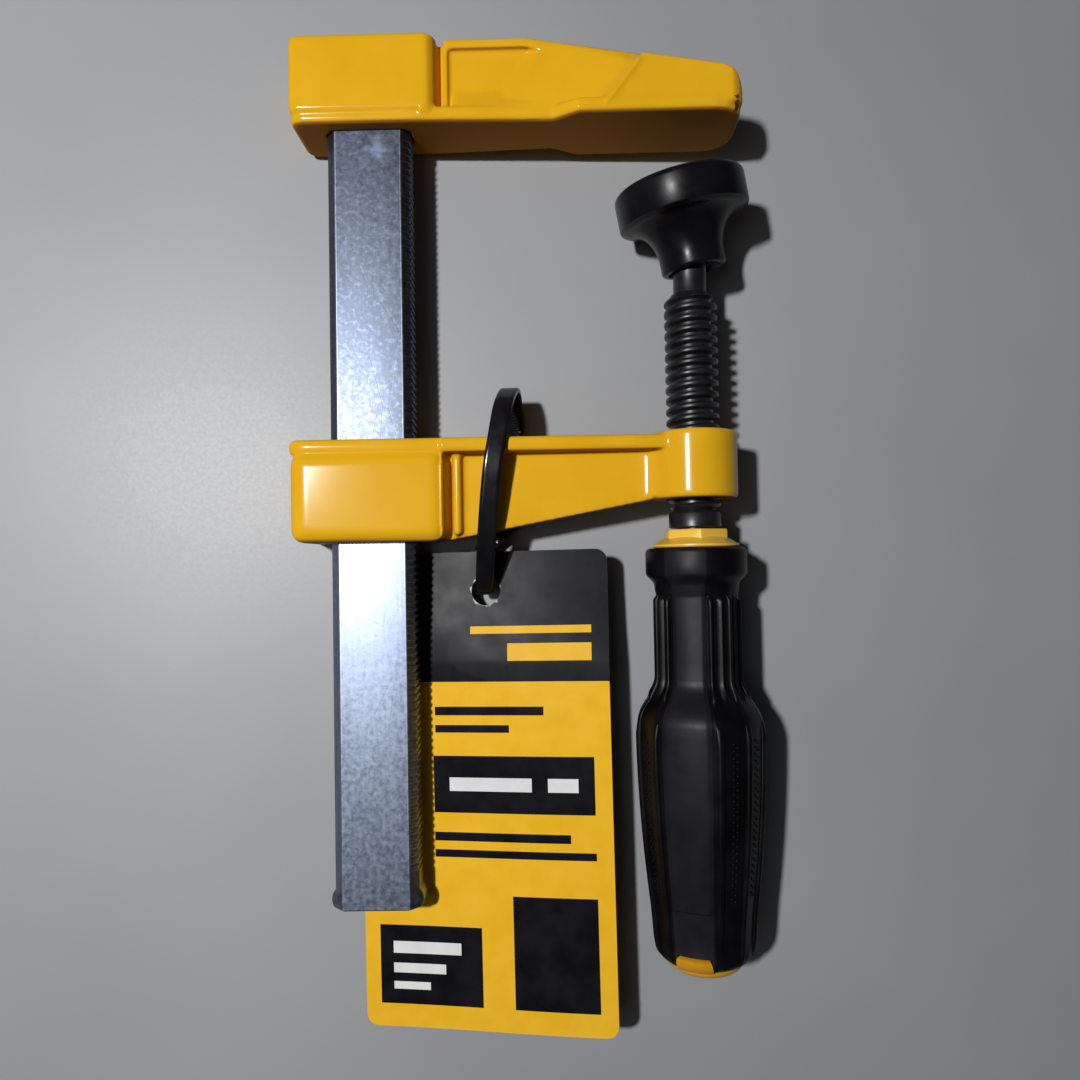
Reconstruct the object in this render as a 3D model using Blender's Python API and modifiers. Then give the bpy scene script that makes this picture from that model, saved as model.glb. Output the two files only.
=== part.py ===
"""Light-duty bar clamp with a screw handle, lying on its side, with its card on a cable tie.

The origin is the middle of the fixed jaw's clamping face, where the spindle's axis meets it.
+Y runs along the bar and the spindle towards the fixed jaw, +Z is up, and -X leads to the bar.
"""

import math

import bmesh
import bpy
from mathutils import Matrix, Vector

# Whole clamp
THROAT_DEPTH = 0.0508  # from the bar's toothed side to the spindle's axis
JAW_GAP = 0.0566  # between the clamping faces of the two jaws
CLEARANCE = 0.0003  # between pieces that touch or slide on each other
OVERRUN = 0.001  # by which a cutter passes the faces that it opens
WELD = 0.000001  # points this close are one
FULL_CIRCLE = 2 * math.pi

# Bar
BAR_WIDTH = 0.0152
BAR_THICKNESS = 0.0066
BAR_LENGTH = 0.1524
BAR_BEVEL = 0.0016
BAR_SET_IN = 0.012  # length held inside the fixed jaw
TOOTH_PITCH = 0.0013
TOOTH_DEPTH = 0.0003
TOOTH_MARGIN = 0.006  # plain length at each end of the row of teeth
STOP_RADIUS = 0.0016
STOP_BULGE = 0.0007  # how far the upset corners stand out of the bar's sides
STOP_HEIGHT = 0.0044

# Both jaws
FLANGE_THICKNESS = 0.0027
FLANGE_ROOT_DEPTH = 0.0136
FLANGE_END_DEPTH = 0.0114
FLANGE_CORNER = 0.0022
FLANGE_SOFTENING = 0.0008
BLOCK_DEPTH = 0.0148
WEB_DEPTH = 0.0048
GROOVE_WIDTH = 0.0011  # between the block and the arm
GROOVE_SINK = 0.0006  # of the fixed jaw's groove below the arm's border

# Fixed jaw
FIXED_OUTER_WALL = 0.0058  # from the bar to the closed end of the jaw
FIXED_HEIGHT = 0.0155
FIXED_BLOCK_HEIGHT = 0.0159
FIXED_INNER_WALL = 0.0048
FIXED_SOFTENING = 0.0014
ARM_DEPTH = 0.0104
ARM_RIM = 0.0018
ARM_WEB_DEPTH = 0.0082  # between the sunk faces of the arm
ARM_POST = 0.0012  # width of the border beside the groove
ARM_SHOULDER = 0.0295  # from the spindle's axis to where the arm's back starts to fall
ARM_SOFTENING = 0.0006
POCKET_CORNER = 0.0012
POCKET_SLOPE_GAP = 0.0016  # between the sunk web and the nose's slanted end
NOSE_DEPTH = 0.0168
NOSE_FLARE_START = 0.0248
NOSE_FLARE_END = 0.0202
NOSE_FOOT = 0.016
NOSE_BROW = 0.0087
NOSE_BROW_DROP = 0.0006  # of the slanted end's top below the nose's back
NOSE_SOFTENING = 0.0015
NOSE_STEP = 0.00015  # of the nose's sides and tip behind the flange's edge
NOSE_BACK_DROP = 0.0016  # of the nose's back below the arm's
TIP_REACH = 0.0092
TIP_HEIGHT = 0.009
TIP_CORNER = 0.0046
TIP_PLAN_CORNER = 0.005

# Sliding jaw
SLIDE_OUTER_WALL = 0.0063
SLIDE_HEIGHT = 0.0183
SLIDE_INNER_WALL = 0.006
SLIDE_SOFTENING = 0.0023
SLIDE_FLANGE_REACH = 0.0004  # of the flange past the block's closed end
SLIDE_BLOCK_DROP = 0.0022  # of the block's top below the clamping face
SLIDE_RIB_WIDTH = 0.0016
SLIDE_RIB_DEPTH = 0.0084
SLIDE_RIB_LIFT = 0.0006
ARM_ROOT_HEIGHT = 0.018
BOSS_RADIUS = 0.00785
BOSS_RISE = 0.0007
BOSS_LENGTH = 0.0121
BOSS_FILLET = 0.004
BOSS_SOFTENING = 0.0005
SHOE_THICKNESS = 0.0016
SHOE_LENGTH = 0.0082
SHOE_WIDTH = 0.0038
SPRING_RISE = 0.0014
SPRING_THICKNESS = 0.00035
SPRING_WIDTH = 0.0034

# Spindle, measured from the centre of its ball
BALL_TO_JAW = 0.0205  # from the ball's centre to the fixed jaw's face
BALL_RADIUS = 0.0039
NECK_RADIUS = 0.003
NECK_LENGTH = 0.0101
THREAD_RADIUS = 0.0048
THREAD_ROOT_RADIUS = 0.0037
THREAD_CORE_RADIUS = 0.0036
THREAD_PITCH = 0.002
THREAD_LENGTH = 0.0399
THREAD_ROOT_SHARE = 0.34
THREAD_FLANK_SHARE = 0.16
SHANK_LENGTH = 0.0027
TANG_RADIUS = 0.0034
TANG_LENGTH = 0.038

# Swivel pad, measured from the centre of the ball
PAD_TILT = math.radians(11)  # of its face towards the bar
PAD_LEAN = math.radians(5.5)  # of its face towards the ground
PAD_RADIUS = 0.0119
RIM_MARGIN = 0.0002  # of the leaning rim's reach over the pad's radius
PAD_FACE_HEIGHT = 0.0104  # of the clamping face above the ball's centre
PAD_RIM_HEIGHT = 0.0063
PAD_RIM_CORNER = 0.0012
PAD_UNDERCUT = 0.0006
PAD_HUB_RADIUS = 0.0059
PAD_HUB_LENGTH = 0.0053  # below the ball's centre
PAD_HUB_STRAIGHT = 0.0022
PAD_HUB_CORNER = 0.0005
PAD_MOUTH_RADIUS = 0.0048
PAD_THROAT_RADIUS = 0.0041
SOCKET_WALL = 0.0006  # of the seat and of the snap ring round the ball
SEAT_EDGE = math.radians(50)
RING_START = math.radians(65)
RING_END = math.radians(119)

# Handle, measured from the top of its collar
COLLAR_RADIUS = 0.0061
COLLAR_HEIGHT = 0.0019
SKIRT_RADIUS = 0.00775
SKIRT_TOP = 0.0015
SKIRT_SHOULDER = 0.0024
SKIRT_BOTTOM = 0.003
CORE_RADIUS = 0.0052
DOME_RADIUS = 0.0062
DOME_HEIGHT = 0.0009
TONGUE_RADIUS = 0.0083
TONGUE_HALF_ANGLE = math.radians(24)
TONGUE_HEIGHT = 0.0034  # from the dome up the handle's side
TONGUE_LIFT = 0.0008  # of its lower end above the dome
GRIP_LENGTH = 0.0741
LIP_RADIUS = 0.0091
LIP_CORNER = 0.0007
LIP_HEIGHT = 0.0045
LIP_FOOT = 0.0067
WAIST_RADIUS = 0.0076
WAIST_END = 0.0232
BELLY_RADIUS = 0.0114
BELLY_START = 0.031
BELLY_END = 0.033
NOTCH_RADIUS = 0.0093
NOTCH_RISE = 0.0101  # above the grip's foot
LEDGE_RISE = 0.0116  # of the small step across the wide panels, above the foot
LEDGE_STEP = 0.0003
HEEL_RADIUS = 0.0088
HEEL_CORNER = 0.001
PANEL_FLATTENING_SHARE = 0.45
RIDGE_HEIGHT = 0.0003
FIRST_RIDGE = math.radians(-52)  # from straight up, towards +X
RIDGE_WIDTH = math.radians(4)
PANEL_SHARES = (1 / 6, 1 / 12, 1 / 12)  # of the full circle: one wide panel, then two narrow ones
WIDE_PANEL_SHARES = (-1, -0.5, 0, 0.5, 1)  # of the panel's half width, for its lengthwise lines
NARROW_PANEL_SHARES = (-1, 0, 1)
LIP_LEVEL_SHARES = (0, 0.3, 1)  # of the corner's height
HEEL_LEVEL_SHARES = (0, 0.7, 1)
NOTCH_FALL_POWER = 1.8  # how late the belly falls to the notches

# Cable tie
TIE_WIDTH = 0.0026
TIE_THICKNESS = 0.0011
TIE_TOP = 0.0092  # of the loop above the sliding jaw's clamping face
TIE_HEAD_WIDTH = 0.0042
TIE_HEAD_LENGTH = 0.0044
TIE_HEAD_HEIGHT = 0.003
# The strap's way, as shares of its sideways lean, of its reach down and of the flange's half depth
TIE_FRONT_SHARES = (
    (0, 0, 0),
    (0.4, 0.1, 0.8),
    (0.8, 0.26, 1.04),
    (1.2, 0.43, 1.06),
    (1.6, 0.68, 0.8),
)
TIE_HOLE_SHARES = ((-0.2, 0.87, 0.17), (0, 1, 0))
TIE_HEAD_SHARES = (1.22, 0.39, 1.04)
TIE_BACK_SHARES = (
    (-0.9, 0.56, 1),
    TIE_HEAD_SHARES,
    (-0.2, 0.2, 0.95),
    (-0.2, 0.07, 0.6),
)

# Card, placed by its hole, from the sliding jaw's clamping face
TAG_X = -0.0388
TAG_Y = -0.0275
TAG_Z = -0.0029
TAG_WIDTH = 0.0471
TAG_LENGTH = 0.088
TAG_THICKNESS = 0.0005
TAG_CORNER = 0.002
TAG_HOLE_RADIUS = 0.00275
TAG_HOLE_DROP = 0.0073  # of the hole's centre below the card's top edge
TAG_HOLE_SIDE = 0.0008  # of the hole's centre from the card's middle
TAG_TURN = math.radians(0.5)
TAG_ROLL = math.radians(-7.4)

# Places worked out from the sizes above
BAR_X = -(THROAT_DEPTH + BAR_WIDTH / 2)
FIXED_OUTER_X = BAR_X - BAR_WIDTH / 2 - FIXED_OUTER_WALL
SLIDE_OUTER_X = BAR_X - BAR_WIDTH / 2 - SLIDE_OUTER_WALL
TOOTHED_X = BAR_X + BAR_WIDTH / 2
HANDLE_TOP = NECK_LENGTH + THREAD_LENGTH + SHANK_LENGTH + CLEARANCE
NOTCH_START = GRIP_LENGTH - NOTCH_RISE
LEDGE_DROP = GRIP_LENGTH - LEDGE_RISE
LIE_DROP = PAD_RADIUS + RIM_MARGIN - BLOCK_DEPTH / 2
LIE_ANGLE = math.asin(LIE_DROP / (SLIDE_OUTER_X + SLIDE_SOFTENING))
SHOE_X = BAR_X - BAR_WIDTH / 2 - CLEARANCE - SHOE_THICKNESS
SHOE_Y = -SLIDE_HEIGHT / 2
SPRING_X = SHOE_X - CLEARANCE - SPRING_RISE
SIDE_VIEW = Matrix.Identity(4)  # the outline lies in XY and is thick along Z
PLAN_VIEW = Matrix.Rotation(math.pi / 2, 4, "X")  # the outline's y is Z, thick along Y


def clear_scene():
    for obj in list(bpy.data.objects):
        bpy.data.objects.remove(obj)


def collection(name):
    made = bpy.data.collections.new(name)
    bpy.context.scene.collection.children.link(made)
    return made


def material(name, colour, roughness, metallic=0.0):
    made = bpy.data.materials.new(name)
    made.use_nodes = True
    shader = made.node_tree.nodes["Principled BSDF"]
    shader.inputs["Base Color"].default_value = (*colour, 1)
    shader.inputs["Roughness"].default_value = roughness
    shader.inputs["Metallic"].default_value = metallic
    return made


def yellow_paint(name):
    return material(name, (0.73, 0.40, 0.016), 0.3)


def black_plastic(name, roughness=0.45):
    return material(name, (0.012, 0.012, 0.014), roughness)


def bright_steel(name):
    return material(name, (0.62, 0.65, 0.7), 0.28, 1.0)


def pivot(name, parent, place=(0, 0, 0)):
    """An empty on a joint's axis, which carries the pieces that move together."""
    made = bpy.data.objects.new(name, None)
    made.location = place
    made.parent = parent
    PARTS.objects.link(made)
    return made


def put(name, mesh, parent, matrix=None):
    """A piece made of this mesh, placed in its parent's frame."""
    made = bpy.data.objects.new(name, mesh)
    made.parent = parent
    if matrix:
        made.matrix_basis = matrix
    PARTS.objects.link(made)
    return made


def as_helper(obj):
    """Makes this object a hidden cutter or addition."""
    PARTS.objects.unlink(obj)
    HELPERS.objects.link(obj)
    obj.hide_render = True
    obj.display_type = "WIRE"
    return obj


def combine(obj, operation, other):
    modifier = obj.modifiers.new(other.name, "BOOLEAN")
    modifier.operation = operation
    modifier.solver = "EXACT"
    modifier.object = as_helper(other)


def join(obj, other):
    combine(obj, "UNION", other)


def cut(obj, other):
    combine(obj, "DIFFERENCE", other)


def keep_inside(obj, other):
    combine(obj, "INTERSECT", other)


def soften(obj, width, segments=2):
    """Rounds the sharp edges."""
    modifier = obj.modifiers.new("Soft edges", "BEVEL")
    modifier.width = width
    modifier.segments = segments
    modifier.limit_method = "ANGLE"
    modifier.angle_limit = math.radians(40)


def finish(obj, made_of):
    obj.data.materials.clear()
    obj.data.materials.append(made_of)
    return obj


def shade_round(obj):
    obj.data.shade_smooth()
    obj.data.set_sharp_from_angle(angle=math.radians(35))


def rounded(corners, steps=3):
    """The outline through these (x, y, radius) corners, with an arc at each corner that has a radius."""
    points = []
    for i, (x, y, radius) in enumerate(corners):
        corner = Vector((x, y))
        if not radius:
            points.append(corner)
            continue
        before = (Vector(corners[i - 1][:2]) - corner).normalized()
        after = (Vector(corners[(i + 1) % len(corners)][:2]) - corner).normalized()
        half = before.angle(after) / 2
        centre = corner + (before + after).normalized() * radius / math.sin(half)
        first = before * radius / math.tan(half) + corner - centre
        last = after * radius / math.tan(half) + corner - centre
        start = math.atan2(first.y, first.x)
        sweep = (math.atan2(last.y, last.x) - start + math.pi) % FULL_CIRCLE - math.pi
        for step in range(steps + 1):
            angle = start + sweep * step / steps
            points.append(centre + radius * Vector((math.cos(angle), math.sin(angle))))
    return points


def mirrored(corners):
    """These corners of one half of an outline, then the same ones across y = 0."""
    return corners + [(x, -y, radius) for x, y, radius in reversed(corners)]


def plate(name, outline, thickness, parent, view=SIDE_VIEW, centre=(0, 0, 0)):
    """A flat outline given its thickness, half of it each way from its centre."""
    curve = bpy.data.curves.new(name, "CURVE")
    curve.dimensions = "2D"
    curve.fill_mode = "BOTH"
    curve.extrude = thickness / 2
    spline = curve.splines.new("POLY")
    spline.points.add(len(outline) - 1)
    for point, (x, y) in zip(spline.points, outline):
        point.co = (x, y, 0, 1)
    spline.use_cyclic_u = True
    guide = bpy.data.objects.new(name, curve)
    PARTS.objects.link(guide)
    graph = bpy.context.evaluated_depsgraph_get()
    mesh = bpy.data.meshes.new_from_object(guide.evaluated_get(graph))
    bpy.data.objects.remove(guide)
    bm = bmesh.new()
    bm.from_mesh(mesh)
    bmesh.ops.remove_doubles(bm, verts=bm.verts, dist=WELD)
    flat = math.radians(0.1)
    bmesh.ops.dissolve_limit(bm, angle_limit=flat, verts=bm.verts, edges=bm.edges)
    bmesh.ops.recalc_face_normals(bm, faces=bm.faces)
    bm.to_mesh(mesh)
    bm.free()
    return put(name, mesh, parent, Matrix.Translation(centre) @ view)


def box(name, low, high, parent):
    """A block between two opposite corners."""
    bm = bmesh.new()
    bmesh.ops.create_cube(bm, size=1)
    size = Vector(high) - Vector(low)
    middle = (Vector(high) + Vector(low)) / 2
    bmesh.ops.scale(bm, vec=size, verts=bm.verts)
    bmesh.ops.translate(bm, vec=middle, verts=bm.verts)
    mesh = bpy.data.meshes.new(name)
    bm.to_mesh(mesh)
    bm.free()
    return put(name, mesh, parent)


def cylinder(name, radius, length, parent, centre=(0, 0, 0), axis="Y", sides=32):
    """A round or many-sided bar along one axis, about its centre."""
    bm = bmesh.new()
    bmesh.ops.create_cone(
        bm, cap_ends=True, segments=sides, radius1=radius, radius2=radius, depth=length
    )
    mesh = bpy.data.meshes.new(name)
    bm.to_mesh(mesh)
    bm.free()
    turn = PLAN_VIEW if axis == "Y" else SIDE_VIEW
    made = put(name, mesh, parent, Matrix.Translation(centre) @ turn)
    shade_round(made)
    return made


def turned(name, profile, parent, steps=32, closed=False):
    """A round piece about Y, from (radius, y) points that run down its outer side."""
    mesh = bpy.data.meshes.new(name)
    edges = [(i, i + 1) for i in range(len(profile) - 1)]
    if closed:
        edges.append((len(profile) - 1, 0))
    mesh.from_pydata([(radius, y, 0) for radius, y in profile], edges, [])
    made = put(name, mesh, parent)
    screw = made.modifiers.new("Turn", "SCREW")
    screw.axis = "Y"
    screw.steps = steps
    screw.render_steps = steps
    screw.use_merge_vertices = True
    screw.merge_threshold = WELD
    screw.use_smooth_shade = True
    return made


def arc(radius, start, end, steps):
    """(radius, y) points of a ball's profile, with its angles counted from +Y."""
    angles = [start + (end - start) * i / steps for i in range(steps + 1)]
    return [(radius * math.sin(a), radius * math.cos(a)) for a in angles]


def bar_section(extra=0.0):
    """The bar's bevelled section in XZ, grown by a clearance."""
    half_width = BAR_WIDTH / 2 + extra
    half_thickness = BAR_THICKNESS / 2 + extra
    side = [
        (half_width - BAR_BEVEL, half_thickness),
        (half_width, half_thickness - BAR_BEVEL),
        (half_width, BAR_BEVEL - half_thickness),
        (half_width - BAR_BEVEL, -half_thickness),
    ]
    return side + [(-x, -z) for x, z in side]


def make_bar(parent):
    middle = BAR_SET_IN - BAR_LENGTH / 2
    end = BAR_SET_IN - BAR_LENGTH
    bar = plate("bar", bar_section(), BAR_LENGTH, parent, PLAN_VIEW, (BAR_X, middle, 0))
    comb = []
    count = round((-end - 2 * TOOTH_MARGIN) / TOOTH_PITCH)
    for i in range(count):
        y = end + TOOTH_MARGIN + i * TOOTH_PITCH
        comb += [(TOOTHED_X + OVERRUN, y), (TOOTHED_X - TOOTH_DEPTH, y + TOOTH_PITCH / 2)]
    comb.append((TOOTHED_X + OVERRUN, end + TOOTH_MARGIN + count * TOOTH_PITCH))
    comb.append((TOOTHED_X + 2 * OVERRUN, comb[-1][1]))
    comb.append((TOOTHED_X + 2 * OVERRUN, end + TOOTH_MARGIN))
    cut(bar, plate("bar_teeth", comb, BAR_THICKNESS + 2 * OVERRUN, parent))
    reach = BAR_WIDTH / 2 + STOP_BULGE - STOP_RADIUS
    for side, name in ((-1, "stop_outer"), (1, "stop_inner")):
        place = (BAR_X + side * reach, end + STOP_RADIUS + CLEARANCE, 0)
        join(bar, cylinder(name, STOP_RADIUS, STOP_HEIGHT, parent, place, "Z", 16))
    return finish(bar, bright_steel("bar"))


def arm_back(x):
    """Height of the fixed arm's back above its clamping face, at this x."""
    fallen = (x + ARM_SHOULDER) / (TIP_REACH + ARM_SHOULDER)
    return FIXED_HEIGHT - max(0, fallen) * (FIXED_HEIGHT - TIP_HEIGHT)


def fixed_flange(parent):
    outline = mirrored(
        [
            (FIXED_OUTER_X, FLANGE_ROOT_DEPTH / 2, FLANGE_CORNER),
            (TOOTHED_X, FLANGE_ROOT_DEPTH / 2, 0),
            (-NOSE_FLARE_START, FLANGE_END_DEPTH / 2, 0),
            (-NOSE_FLARE_END, NOSE_DEPTH / 2, 0),
            (TIP_REACH, NOSE_DEPTH / 2, TIP_PLAN_CORNER),
        ]
    )
    middle = (0, FLANGE_THICKNESS / 2, 0)
    flange = plate(
        "fixed_jaw", rounded(outline, 4), FLANGE_THICKNESS, parent, PLAN_VIEW, middle
    )
    soften(flange, FLANGE_SOFTENING)
    return flange


def fixed_block(parent):
    inner = TOOTHED_X + FIXED_INNER_WALL
    low = (FIXED_OUTER_X, FLANGE_THICKNESS / 2, -BLOCK_DEPTH / 2)
    block = box("fixed_block", low, (inner, FIXED_BLOCK_HEIGHT, BLOCK_DEPTH / 2), parent)
    soften(block, FIXED_SOFTENING, 3)
    return block


def fixed_arm(parent):
    """The arm's web, which joins the block, with the raised border on each face."""
    left = TOOTHED_X + FIXED_INNER_WALL + GROOVE_WIDTH
    inside = FLANGE_THICKNESS / 2
    arm = plate(
        "fixed_arm",
        [
            (left, inside),
            (-NOSE_BROW / 3, inside),
            (-NOSE_BROW / 2, FIXED_HEIGHT / 2),
            (-NOSE_BROW, arm_back(-NOSE_BROW)),
            (-ARM_SHOULDER, FIXED_HEIGHT),
            (left, FIXED_HEIGHT),
        ],
        ARM_DEPTH,
        parent,
    )
    soften(arm, ARM_SOFTENING)
    pocket_left = left + ARM_POST
    ceiling = FIXED_HEIGHT - ARM_RIM
    brow = arm_back(-NOSE_BROW) - NOSE_BACK_DROP - NOSE_BROW_DROP
    outline = rounded(
        [
            (pocket_left, FLANGE_THICKNESS, POCKET_CORNER),
            (-NOSE_FOOT - POCKET_SLOPE_GAP, FLANGE_THICKNESS, POCKET_CORNER),
            (-NOSE_BROW - POCKET_SLOPE_GAP, brow, POCKET_CORNER),
            (-ARM_SHOULDER, ceiling, 0),
            (pocket_left, ceiling, POCKET_CORNER),
        ]
    )
    depth = (ARM_DEPTH - ARM_WEB_DEPTH) / 2 + OVERRUN
    for side, name in ((-1, "pocket_back"), (1, "pocket_front")):
        middle = (0, 0, side * (ARM_WEB_DEPTH + depth) / 2)
        cut(arm, plate(name, outline, depth, parent, SIDE_VIEW, middle))
    return arm


def fixed_nose(parent):
    """The thick end of the arm, slanted where it rises out of the web."""
    brow = arm_back(-NOSE_BROW) - NOSE_BACK_DROP - NOSE_BROW_DROP
    inside = FLANGE_THICKNESS / 2
    reach = TIP_REACH - NOSE_STEP
    depth = NOSE_DEPTH - 2 * NOSE_STEP
    outline = rounded(
        [
            (-NOSE_FOOT, inside, 0),
            (reach, inside, 0),
            (reach, arm_back(reach) - NOSE_BACK_DROP, TIP_CORNER),
            (-NOSE_BROW, arm_back(-NOSE_BROW) - NOSE_BACK_DROP, 0),
            (-NOSE_BROW, brow, 0),
            (-NOSE_FOOT, FLANGE_THICKNESS, 0),
        ],
        5,
    )
    nose = plate("fixed_nose", outline, depth, parent)
    soften(nose, NOSE_SOFTENING, 3)
    plan = mirrored(
        [
            (-ARM_SHOULDER, depth / 2 + OVERRUN, 0),
            (reach + OVERRUN, depth / 2 + OVERRUN, TIP_PLAN_CORNER + OVERRUN),
        ]
    )
    keep_inside(
        nose, plate("nose_plan", rounded(plan, 4), 2 * FIXED_HEIGHT, parent, PLAN_VIEW)
    )
    return nose


def make_fixed_jaw(parent):
    jaw = fixed_flange(parent)
    join(jaw, fixed_block(parent))
    join(jaw, fixed_arm(parent))
    inner = TOOTHED_X + FIXED_INNER_WALL
    half = ARM_DEPTH / 2 - GROOVE_SINK
    low = (inner - FIXED_SOFTENING, FLANGE_THICKNESS / 2, -half)
    high = (inner + 2 * GROOVE_WIDTH, FIXED_HEIGHT - CLEARANCE, half)
    join(jaw, box("fixed_bridge", low, high, parent))
    depth = BAR_SET_IN + CLEARANCE + OVERRUN
    place = (BAR_X, depth / 2 - OVERRUN, 0)
    cut(jaw, plate("fixed_socket", bar_section(CLEARANCE), depth, parent, PLAN_VIEW, place))
    join(jaw, fixed_nose(parent))
    return finish(jaw, yellow_paint("fixed_jaw"))


def slide_flange(parent):
    outline = mirrored(
        [
            (SLIDE_OUTER_X - SLIDE_FLANGE_REACH, FLANGE_ROOT_DEPTH / 2, FLANGE_CORNER),
            (TOOTHED_X, FLANGE_ROOT_DEPTH / 2, 0),
            (0, FLANGE_END_DEPTH / 2, 0),
        ]
    )
    middle = (0, -FLANGE_THICKNESS / 2, 0)
    flange = plate(
        "sliding_jaw", rounded(outline, 4), FLANGE_THICKNESS, parent, PLAN_VIEW, middle
    )
    soften(flange, FLANGE_SOFTENING)
    return flange


def slide_block(parent):
    low = (SLIDE_OUTER_X, -SLIDE_HEIGHT, -BLOCK_DEPTH / 2)
    high = (TOOTHED_X + SLIDE_INNER_WALL, -SLIDE_BLOCK_DROP, BLOCK_DEPTH / 2)
    block = box("slide_block", low, high, parent)
    soften(block, SLIDE_SOFTENING, 4)
    return block


def slide_arm(parent):
    left = TOOTHED_X + SLIDE_INNER_WALL - SLIDE_SOFTENING
    inside = -FLANGE_THICKNESS / 2
    outline = [
        (left, inside),
        (left, -ARM_ROOT_HEIGHT),
        (left + SLIDE_SOFTENING + GROOVE_WIDTH, -ARM_ROOT_HEIGHT),
        (-BOSS_RADIUS, BOSS_RISE - BOSS_LENGTH),
        (-THREAD_RADIUS, BOSS_RISE - BOSS_LENGTH + OVERRUN),
        (-THREAD_RADIUS, inside),
    ]
    return plate("slide_arm", outline, WEB_DEPTH, parent)


def slide_rib(parent):
    left = TOOTHED_X + SLIDE_INNER_WALL + GROOVE_WIDTH
    half = SLIDE_RIB_DEPTH / 2
    low = (left, SLIDE_RIB_LIFT - ARM_ROOT_HEIGHT, -half)
    rib = box("slide_rib", low, (left + SLIDE_RIB_WIDTH, -FLANGE_THICKNESS / 2, half), parent)
    soften(rib, FLANGE_SOFTENING)
    return rib


def boss_fillet(parent):
    """The web's hollow-sided swelling where it runs into the boss."""
    half_web = WEB_DEPTH / 2
    reach = BOSS_RADIUS + BOSS_FILLET
    rise = half_web + BOSS_FILLET
    centre = Vector((-math.sqrt(reach**2 - rise**2), rise))
    touch = math.atan2(-centre.y, -centre.x)
    steps = 5
    outline = []
    for i in range(steps + 1):
        angle = -math.pi / 2 + (touch + math.pi / 2) * i / steps
        outline.append(centre + BOSS_FILLET * Vector((math.cos(angle), math.sin(angle))))
    side = [(x, y, 0) for x, y in outline] + [(0, outline[-1].y, 0)]
    top = -FLANGE_THICKNESS / 2
    bottom = BOSS_RISE - BOSS_LENGTH + BOSS_SOFTENING
    place = (0, (top + bottom) / 2, 0)
    points = [(x, y) for x, y, _ in mirrored(side)]
    return plate("boss_fillet", points, top - bottom, parent, PLAN_VIEW, place)


def make_sliding_jaw(parent):
    jaw = slide_flange(parent)
    join(jaw, slide_block(parent))
    join(jaw, slide_arm(parent))
    join(jaw, slide_rib(parent))
    join(jaw, boss_fillet(parent))
    middle = BOSS_RISE - BOSS_LENGTH / 2
    boss = cylinder("boss", BOSS_RADIUS, BOSS_LENGTH, parent, (0, middle, 0), sides=40)
    soften(boss, BOSS_SOFTENING)
    join(jaw, boss)
    length = SLIDE_HEIGHT + 2 * OVERRUN
    place = (BAR_X, -SLIDE_HEIGHT / 2, 0)
    cut(jaw, plate("bar_slot", bar_section(CLEARANCE), length, parent, PLAN_VIEW, place))
    length = BOSS_LENGTH + 2 * OVERRUN
    radius = THREAD_RADIUS + CLEARANCE
    cut(jaw, cylinder("screw_hole", radius, length, parent, (0, middle, 0)))
    cut(jaw, lock_recess(parent))
    return finish(jaw, yellow_paint("sliding_jaw"))


def lock_recess(parent):
    """The recess in the closed end of the jaw, open to the bar's slot, for the shoe and spring."""
    half_length = SHOE_LENGTH / 2 + CLEARANCE
    half_width = SHOE_WIDTH / 2 + CLEARANCE
    low = (SPRING_X - CLEARANCE, SHOE_Y - half_length, -half_width)
    return box("lock_recess", low, (BAR_X, SHOE_Y + half_length, half_width), parent)


def make_lock_shoe(parent):
    low = (SHOE_X, SHOE_Y - SHOE_LENGTH / 2, -SHOE_WIDTH / 2)
    high = (SHOE_X + SHOE_THICKNESS, SHOE_Y + SHOE_LENGTH / 2, SHOE_WIDTH / 2)
    return finish(box("lock_shoe", low, high, parent), black_plastic("lock_shoe"))


def make_lock_spring(parent):
    """A bowed leaf that presses the shoe against the bar."""
    steps = 8
    half = SHOE_LENGTH / 2
    outer = []
    for i in range(steps + 1):
        along = 2 * i / steps - 1
        rise = (SPRING_RISE - SPRING_THICKNESS) * (1 - along**2)
        outer.append((SPRING_X + rise, SHOE_Y + along * half))
    inner = [(x + SPRING_THICKNESS, y) for x, y in reversed(outer)]
    spring = plate("lock_spring", outer + inner, SPRING_WIDTH, parent)
    return finish(spring, bright_steel("lock_spring"))


def thread_blank(parent):
    """The chamfered length that the thread is trimmed to."""
    top = -NECK_LENGTH
    bottom = -NECK_LENGTH - THREAD_LENGTH - OVERRUN
    outside = THREAD_RADIUS + CLEARANCE
    chamfer = outside - THREAD_CORE_RADIUS
    profile = [
        (0, top),
        (THREAD_CORE_RADIUS, top),
        (outside, top - chamfer),
        (outside, bottom + chamfer),
        (THREAD_CORE_RADIUS, bottom),
        (0, bottom),
    ]
    return turned("thread_blank", profile, parent, 32)


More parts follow.
